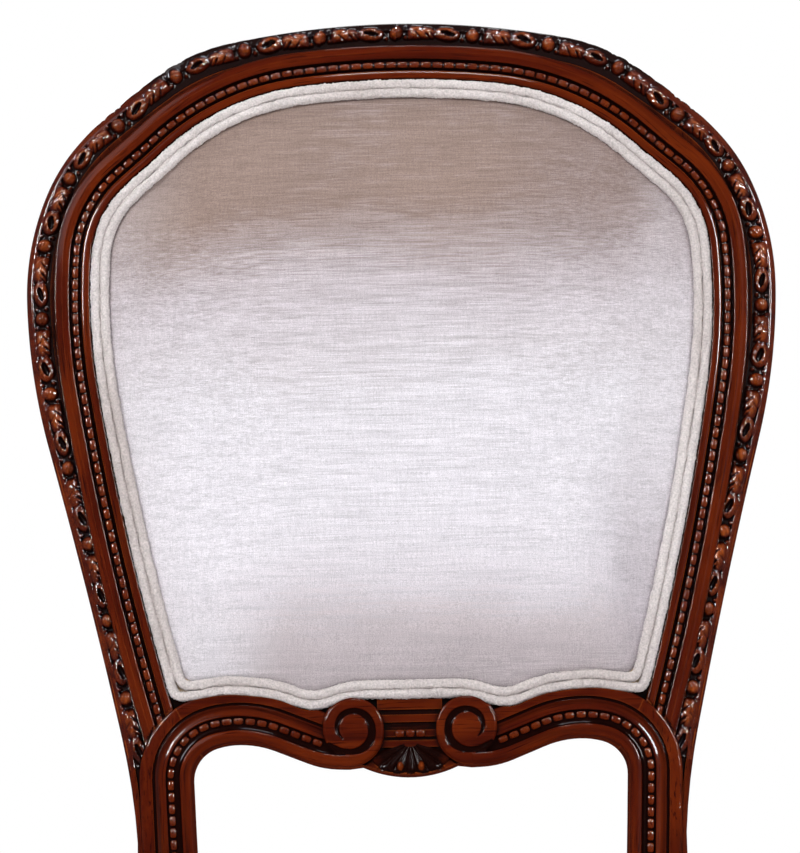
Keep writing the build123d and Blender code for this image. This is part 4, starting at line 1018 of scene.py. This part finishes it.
def cord_points(places, side, out, radius, seed):
    """Rings of a tube round a line, given its two cross directions, with raised pile all over it."""
    turns = np.linspace(0, math.tau, CORD_SIDES, endpoint=False)
    ring = np.cos(turns)[None, :, None] * side[:, None, :] + np.sin(turns)[None, :, None] * out[:, None, :]
    lumps = np.random.default_rng(seed).normal(0, 1, (len(places), CORD_SIDES))
    broad = sum(np.roll(lumps, shift, axis=0) for shift in range(-4, 5)) / 3
    raised = np.clip(lumps, -1.5, 2.2) * PILE + np.clip(broad, -2, 2) * PILE * 0.5
    points = places[:, None, :] + ring * (radius + raised[:, :, None] * MM)
    return points.reshape(-1, 3)


def back_cord(inset, level):
    """One cord inside the sight opening, at a level of the back."""
    loop = welt_loop(inset)
    closed = np.vstack([loop[-1], loop, loop[0]])
    normal = left_normals(closed)[1:-1]
    places = on_back(at_level(loop, level))
    side = normal[:, :1] * ACROSS + normal[:, 1:2] * UP_BACK
    out = np.tile(OUT_FRONT, (len(loop), 1))
    points = cord_points(places, side, out, CORD_R * MM, seed=int(10 * inset))
    return points, grid_faces(len(loop), CORD_SIDES, True, True)


def joined_tubes(name, tubes, finish):
    """Several tubes as one piece."""
    points, faces, count = [], [], 0
    for tube_points, tube_faces in tubes:
        points.append(tube_points)
        faces += [tuple(i + count for i in face) for face in tube_faces]
        count += len(tube_points)
    return piece(name, np.vstack(points), faces, finish)


# %% [markdown]
# The same two cords are sewn round the front and the outside of the back.

# %% Welt of the back, front and rear
WELT_LEVEL = -1.3
REAR_WELT_LEVEL = -30.5
cords = [back_cord(CORD_R + 0.1, WELT_LEVEL), back_cord(3 * CORD_R - 0.1, WELT_LEVEL)]
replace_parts(joined_tubes("back_welt_cords", cords, WELT_VELVET), "back_double_welt")
cords = [back_cord(CORD_R + 0.1, REAR_WELT_LEVEL), back_cord(3 * CORD_R - 0.1, REAR_WELT_LEVEL)]
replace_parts(joined_tubes("outside_back_welt_cords", cords, WELT_VELVET), "outside_back_welt")
print("each cord of the back has", len(cords[0][0]), "points")

# %% [markdown]
# ## The back pad
# The velvet is pulled tight over a crowned pad. Its front is a grid of quads squeezed to the outline,
# which has no pole in the middle. Cloth with a little pressure swells it while the rim is held, and
# one subdivision makes it smooth.

# %% Stuffed forms
PAD_GRID = 66


def squeezed_grid(loop, middle, count):
    """Places of a square grid squeezed into a loop, and how far each lies from middle to edge."""
    steps = np.linspace(-1, 1, count)
    first, second = np.meshgrid(steps, steps, indexing="ij")
    across = first * np.sqrt(1 - second ** 2 / 2)
    up = second * np.sqrt(1 - first ** 2 / 2)
    share = np.clip(np.hypot(across, up), 0, 1)
    angle = np.arctan2(up, across)
    around = loop - middle
    bearings = np.arctan2(around[:, 1], around[:, 0])
    order = np.argsort(bearings)
    reach = np.interp(angle, bearings[order], np.hypot(*around.T)[order], period=math.tau)
    flat = middle + np.stack([np.cos(angle), np.sin(angle)], axis=-1) * (share * reach)[..., None]
    return flat.reshape(-1, 2), share.ravel()


def rim_of(count):
    """Indices round the rim of a square grid."""
    grid = np.arange(count * count).reshape(count, count)
    return np.concatenate([grid[0, :-1], grid[:-1, -1], grid[-1, :0:-1], grid[:0:-1, 0]])


def crowned(share, base, rise, edge, fall):
    """Height of a stuffed form: a rounded edge, then a soft crown."""
    rounded = np.sqrt(np.clip(1 - np.clip((share - fall) / (1 - fall), 0, 1) ** 2.4, 0, 1))
    return base + edge * rounded + (rise - edge) * (1 - share ** 2.4)


def velvet_pad(name, loop, middle, heights, depth, finish, place):
    """A closed pad on a loop; heights gives its face, place turns its points into world places."""
    flat, share = squeezed_grid(loop, middle, PAD_GRID)
    face = np.column_stack([flat, heights(share)])
    rim = rim_of(PAD_GRID)
    under = at_level(flat, face[rim, 2].min() - depth)
    faces = grid_faces(PAD_GRID, PAD_GRID)
    first = len(face)
    faces += [tuple(first + i for i in reversed(quad)) for quad in faces]
    for number in range(len(rim)):
        after = (number + 1) % len(rim)
        faces.append((rim[number], rim[after], first + rim[after], first + rim[number]))
    obj = piece(name, place(np.vstack([face, under])), faces, finish)
    held = np.zeros(2 * first, bool)
    held[rim] = True
    held[first:] = True
    return obj, held


# %% [markdown]
# The cloth solver pushes the cover out from inside. How far a point may move is capped, so the pad
# keeps its place.

# %% Swelling
def swell(obj, held, pressure, frames, cap):
    """Swell a mesh with cloth pressure, holding some points, and cap how far each may move."""
    start = np.array([v.co[:] for v in obj.data.vertices])
    group = obj.vertex_groups.new(name="held")
    group.add([int(i) for i in np.flatnonzero(held)], 1.0, "REPLACE")
    cloth = obj.modifiers.new("swell", "CLOTH")
    cloth.settings.vertex_group_mass = "held"
    cloth.settings.use_pressure = True
    cloth.settings.uniform_pressure_force = pressure
    cloth.settings.effector_weights.gravity = 0
    cloth.settings.quality = 4
    cloth.collision_settings.use_collision = False
    cloth.point_cache.frame_end = frames
    for number in range(1, frames + 1):
        bpy.context.scene.frame_set(number)
    ready = obj.evaluated_get(bpy.context.evaluated_depsgraph_get())
    end = np.array([v.co[:] for v in ready.data.vertices])
    obj.modifiers.remove(cloth)
    obj.vertex_groups.remove(group)
    bpy.context.scene.frame_set(1)
    move = end - start
    size = np.linalg.norm(move, axis=1)
    move *= (cap * np.tanh(size / cap) / np.maximum(size, 1e-9))[:, None]
    obj.data.vertices.foreach_set("co", (start + move).ravel())
    obj.data.update()
    print(obj.name, "swelled by up to", round(float(size.max()) * 1000, 1), "mm")


def subdivided(obj):
    """Round a mesh with one level of subdivision, applied to it."""
    smooth = obj.modifiers.new("smooth", "SUBSURF")
    smooth.levels = smooth.render_levels = 1
    ready = obj.evaluated_get(bpy.context.evaluated_depsgraph_get())
    mesh = bpy.data.meshes.new_from_object(ready)
    obj.modifiers.remove(smooth)
    obj.data = mesh
    for face in mesh.polygons:
        face.use_smooth = True
    return obj


# %% [markdown]
# The pad fills the space inside the welt. It is laid out crowned, and the cloth solver then swells it
# by a few millimetres.

# %% Back pad
PAD_INSET = 4 * CORD_R - 1.2
PAD_BASE = -3.4
PAD_CROWN = 12.0
PAD_MIDDLE = np.array((0.0, 20.0))
SWELL_FRAMES = 16
pad_loop = respaced(welt_loop(PAD_INSET), 2.0)


def back_crown(share):
    """Height of the back pad."""
    return crowned(share, PAD_BASE, PAD_CROWN, edge=2.6, fall=0.94)


back_pad, pad_held = velvet_pad(
    "back_velvet", pad_loop, PAD_MIDDLE, back_crown, depth=1.2, finish=BACK_VELVET, place=on_back
)
swell(back_pad, pad_held, pressure=1.5, frames=SWELL_FRAMES, cap=0.004)
subdivided(back_pad)
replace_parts(back_pad, "back_cover", "back_foam")

# %% [markdown]
# The outside back is a flat panel covered in the same velvet, with hardly any stuffing.

# %% Outside back
def on_rear(points):
    """The same places, but with w counted backwards from the rear face."""
    return on_back(points * (1, 1, -1))


def outside_crown(share):
    """Height of the outside back."""
    return crowned(share, base=30.05, rise=1.9, edge=0.9, fall=0.95)


outside_pad = velvet_pad(
    "outside_back_velvet", pad_loop, PAD_MIDDLE, outside_crown,
    depth=1.0, finish=SEAT_VELVET, place=on_rear,
)[0]
subdivided(outside_pad)
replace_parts(outside_pad, "outside_back_cover")
print("outside back", len(outside_pad.data.polygons), "faces")

# %% [markdown]
# ## The seat
# The seat is stuffed over webbing and foam. Its plan follows the rails, set in from their faces, with
# a tongue between the back posts. A double welt covers the tacks round its foot.

# %% Seat plan
SEAT_SHIFT = 149.11
SEAT_BASE_Z = 450.0
SEAT_TOP_Z = 489.0
SEAT_INSET = 9.0
RAIL_REAR_X, RAIL_CORNER = 166.5, (237.0, -415.0)
SEAT_REAR_Y, SEAT_TONGUE = -1.0, (127.0, 29.0)
SEAT_CORNER, SEAT_BOW = 20.0, (7.0, 14.0)


def three_point_arc(start, middle, end, count=60):
    """Places along the circle through three points."""
    (ax, ay), (bx, by), (cx, cy) = start, middle, end
    twice = 2 * (ax * (by - cy) + bx * (cy - ay) + cx * (ay - by))
    a2, b2, c2 = ax * ax + ay * ay, bx * bx + by * by, cx * cx + cy * cy
    centre = np.array((
        (a2 * (by - cy) + b2 * (cy - ay) + c2 * (ay - by)) / twice,
        (a2 * (cx - bx) + b2 * (ax - cx) + c2 * (bx - ax)) / twice,
    ))
    radius = math.dist(centre, start)
    first = math.atan2(ay - centre[1], ax - centre[0])
    sweep = math.remainder(math.atan2(cy - centre[1], cx - centre[0]) - first, math.tau)
    turns = first + np.linspace(0, 1, count) * sweep
    return centre + radius * np.column_stack([np.cos(turns), np.sin(turns)])


def seat_front(inset):
    """Right half of the seat's outline, from the back post round to the middle of the front."""
    rear = (RAIL_REAR_X - inset, SEAT_REAR_Y)
    corner = (RAIL_CORNER[0] - inset, RAIL_CORNER[1] + inset)
    side_end = (corner[0] - 3, corner[1] + SEAT_CORNER)
    side_middle = ((rear[0] + side_end[0]) / 2 + SEAT_BOW[0], (rear[1] + side_end[1]) / 2)
    side = three_point_arc(rear, side_middle, side_end)
    front_end = (corner[0] - SEAT_CORNER, corner[1])
    other_end = (SEAT_CORNER - corner[0], corner[1])
    front = three_point_arc(front_end, (0, corner[1] - SEAT_BOW[1]), other_end, 121)[:61]
    turn = arc_chain([side_end, tuple(front[0])], side[-1] - side[-2])
    return np.vstack([side, turn[1:-1], front])


def seat_loop(inset):
    """The whole outline of the seat, closed, with its tongue between the posts."""
    tongue = (SEAT_TONGUE[0] + SEAT_INSET - inset, SEAT_TONGUE[1] + SEAT_INSET - inset)
    back = np.array([(0, tongue[1]), tongue, (tongue[0], SEAT_REAR_Y), (RAIL_REAR_X - inset, SEAT_REAR_Y)])
    right = np.vstack([back[:-1], seat_front(inset)])
    loop = np.vstack([right, (right * (-1, 1))[::-1][1:-1]])
    return respaced(np.vstack([loop, loop[:1]]), 3.2)[:-1]


def on_floor(points):
    """World places of plan points with heights, in millimetres, in the seat's own layout."""
    return (np.asarray(points, float) + (0, SEAT_SHIFT, 0)) * MM


# %% [markdown]
# The cushion is made like the back pad. Its tongue between the posts is held still, so that it does
# not swell into the wood.

# %% Seat cushion
SEAT_MIDDLE = np.array((0.0, -190.0))
SEAT_RISE = SEAT_TOP_Z - SEAT_BASE_Z
TONGUE_FROM_Y = 0.135


def seat_crown(share):
    """Height of the seat cushion."""
    return crowned(share, SEAT_BASE_Z + 1, SEAT_RISE, edge=22, fall=0.86)


seat_pad, seat_held = velvet_pad(
    "seat_velvet", seat_loop(SEAT_INSET), SEAT_MIDDLE, seat_crown,
    depth=0.8, finish=SEAT_VELVET, place=on_floor,
)
depths = np.array([v.co.y for v in seat_pad.data.vertices])
still = seat_held | (depths > TONGUE_FROM_Y)
swell(seat_pad, still, pressure=2.0, frames=SWELL_FRAMES, cap=0.005)
subdivided(seat_pad)
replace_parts(seat_pad, "seat_cover", "seat_foam")

# %% [markdown]
# The seat's two cords lie one above the other and end at the back posts.

# %% Seat welt
def seat_cord(inset, level):
    """One cord round the front of the seat, at a height."""
    half = seat_front(inset)
    run = respaced(np.vstack([half, (half * (-1, 1))[::-1][1:]]), 1.1)
    normal = left_normals(run)
    places = on_floor(at_level(run, level))
    side = np.column_stack([normal, np.zeros(len(run))])
    out = np.tile((0.0, 0.0, 1.0), (len(run), 1))
    points = cord_points(places, side, out, CORD_R * MM, seed=int(level))
    faces = grid_faces(len(run), CORD_SIDES, False, True)
    faces += [tuple(range(CORD_SIDES)), tuple(range(len(points) - CORD_SIDES, len(points)))[::-1]]
    return points, faces


welt_inset = SEAT_INSET - CORD_R - 0.3
levels = (SEAT_BASE_Z + CORD_R, SEAT_BASE_Z + 3 * CORD_R - 0.15)
cords = [seat_cord(welt_inset, level) for level in levels]
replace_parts(joined_tubes("seat_welt_cords", cords, WELT_VELVET), "seat_double_welt")
print("each cord of the seat has", len(cords[0][0]), "points")

# %% [markdown]
# ## Studio
# The floor is pale and keeps the shadow. The backdrop is white for the camera and in reflections, and
# for all other rays the world is dimmer.

# %% Floor and world
FLOOR_SIZE = 4.4
FLOOR_FADE = (0.7, 2.0)
WORLD_LIGHT = 0.42


def background_rays(tree):
    """1 for the rays that see the backdrop: camera, glossy and transmission rays."""
    rays = add(tree, "LightPath").outputs
    seen = maths(tree, "ADD", rays["Is Camera Ray"], rays["Is Glossy Ray"])
    return maths(tree, "ADD", seen, rays["Is Transmission Ray"], use_clamp=True)


def pale_floor():
    """A floor that keeps the shadow near the chair and turns white towards its rim."""
    finish, tree, shader = new_finish("pale_floor")
    feed(tree, shader, Base_Color=(0.8, 0.8, 0.8, 1), Roughness=0.6)
    place = add(tree, "TexCoord").outputs["Object"]
    away = add(tree, "VectorMath", place, operation="LENGTH").outputs["Value"]
    share = maths(tree, "MULTIPLY", smooth_fade(tree, away, *FLOOR_FADE), background_rays(tree))
    white = add(tree, "Emission", Color=(1, 1, 1, 1), Strength=1.0)
    mix = add(tree, "MixShader", share, shader.outputs[0], white.outputs[0])
    tree.links.new(mix.outputs[0], tree.nodes["Material Output"].inputs[0])
    mesh = bpy.data.meshes.new("floor")
    reach = FLOOR_SIZE / 2
    corners = [(-reach, -reach, 0), (reach, -reach, 0), (reach, reach, 0), (-reach, reach, 0)]
    mesh.from_pydata(corners, [], [(0, 1, 2, 3)])
    mesh.materials.append(finish)
    floor = new_object("floor", mesh)


def white_world(strength):
    """Even light from all round, with a white backdrop for the rays that see it."""
    world = bpy.data.worlds.new("studio")
    bpy.context.scene.world = world
    world.use_nodes = True
    tree = world.node_tree
    light = tree.nodes["Background"]
    feed(tree, light, Color=(1, 1, 1, 1), Strength=strength)
    backdrop = add(tree, "Background", Color=(1, 1, 1, 1))
    mix = add(tree, "MixShader", background_rays(tree), light.outputs[0], backdrop.outputs[0])
    tree.links.new(mix.outputs[0], tree.nodes["World Output"].inputs[0])


pale_floor()
white_world(WORLD_LIGHT)
print("floor", FLOOR_SIZE, "m wide")

# %% [markdown]
# Four lamps light the chair. Three more shed no diffuse light: they only make highlights.

# %% Lamps
def lamp(name, place, target, size, power, glints_only=False):
    """An area lamp; one for glints shows in the lacquer and sheds no light on the colours."""
    light = bpy.data.lights.new(name, "AREA")
    light.shape = "RECTANGLE"
    light.size, light.size_y = size
    light.energy = power
    obj = new_object(name, light)
    obj.visible_diffuse = not glints_only
    obj.location = place
    obj.rotation_euler = (Vector(target) - Vector(place)).to_track_quat("-Z", "Y").to_euler()


BACK_MIDDLE = Vector(BACK_CENTRE)
lamp("key", (-1.1, -1.9, 2.3), BACK_MIDDLE, (1.2, 0.8), 40)
lamp("fill", (1.6, -2.0, 1.3), BACK_MIDDLE, (1.0, 1.6), 15)
lamp("top", (0.0, 0.3, 2.4), BACK_MIDDLE, (1.4, 0.5), 12)
lamp("rear", (0.6, 2.2, 1.7), BACK_MIDDLE, (1.4, 1.0), 20)
lamp("left_glints", (-1.5, -1.2, 1.9), BACK_MIDDLE, (0.45, 0.8), 560, glints_only=True)
lamp("right_glints", (1.5, -1.3, 1.7), BACK_MIDDLE, (0.45, 0.8), 540, glints_only=True)
lamp("upper_glints", (0.1, -0.7, 2.5), BACK_MIDDLE, (0.5, 0.35), 120, glints_only=True)
print("lamps", len(bpy.data.lights))

# %% [markdown]
# The lens is long and level with the middle of the back, as in the photograph, with the same slight
# tilt of the picture. It is given by its focal length in pixels and the pixel it is aimed at.

# %% Camera
CAMERA_AWAY = 2.0
FOCAL_PIXELS = 3200
PHOTO_SIZE = (800, 853)
PICTURE_TILT = 0.02
AIM_PIXEL = (404.0, 426.0)
SENSOR = 36.0
lens = bpy.data.cameras.new("camera")
lens.sensor_width = SENSOR
lens.lens = SENSOR * FOCAL_PIXELS / max(PHOTO_SIZE)
lens.shift_x = (PHOTO_SIZE[0] / 2 - AIM_PIXEL[0]) / max(PHOTO_SIZE)
lens.shift_y = (AIM_PIXEL[1] - PHOTO_SIZE[1] / 2) / max(PHOTO_SIZE)
camera = new_object("camera", lens)
camera.location = BACK_MIDDLE - Vector((0, CAMERA_AWAY, 0))
camera.rotation_euler = (math.pi / 2, PICTURE_TILT, 0)
bpy.context.scene.camera = camera
bpy.context.scene.view_settings.view_transform = "Standard"
print("lens", round(lens.lens, 1), "mm")
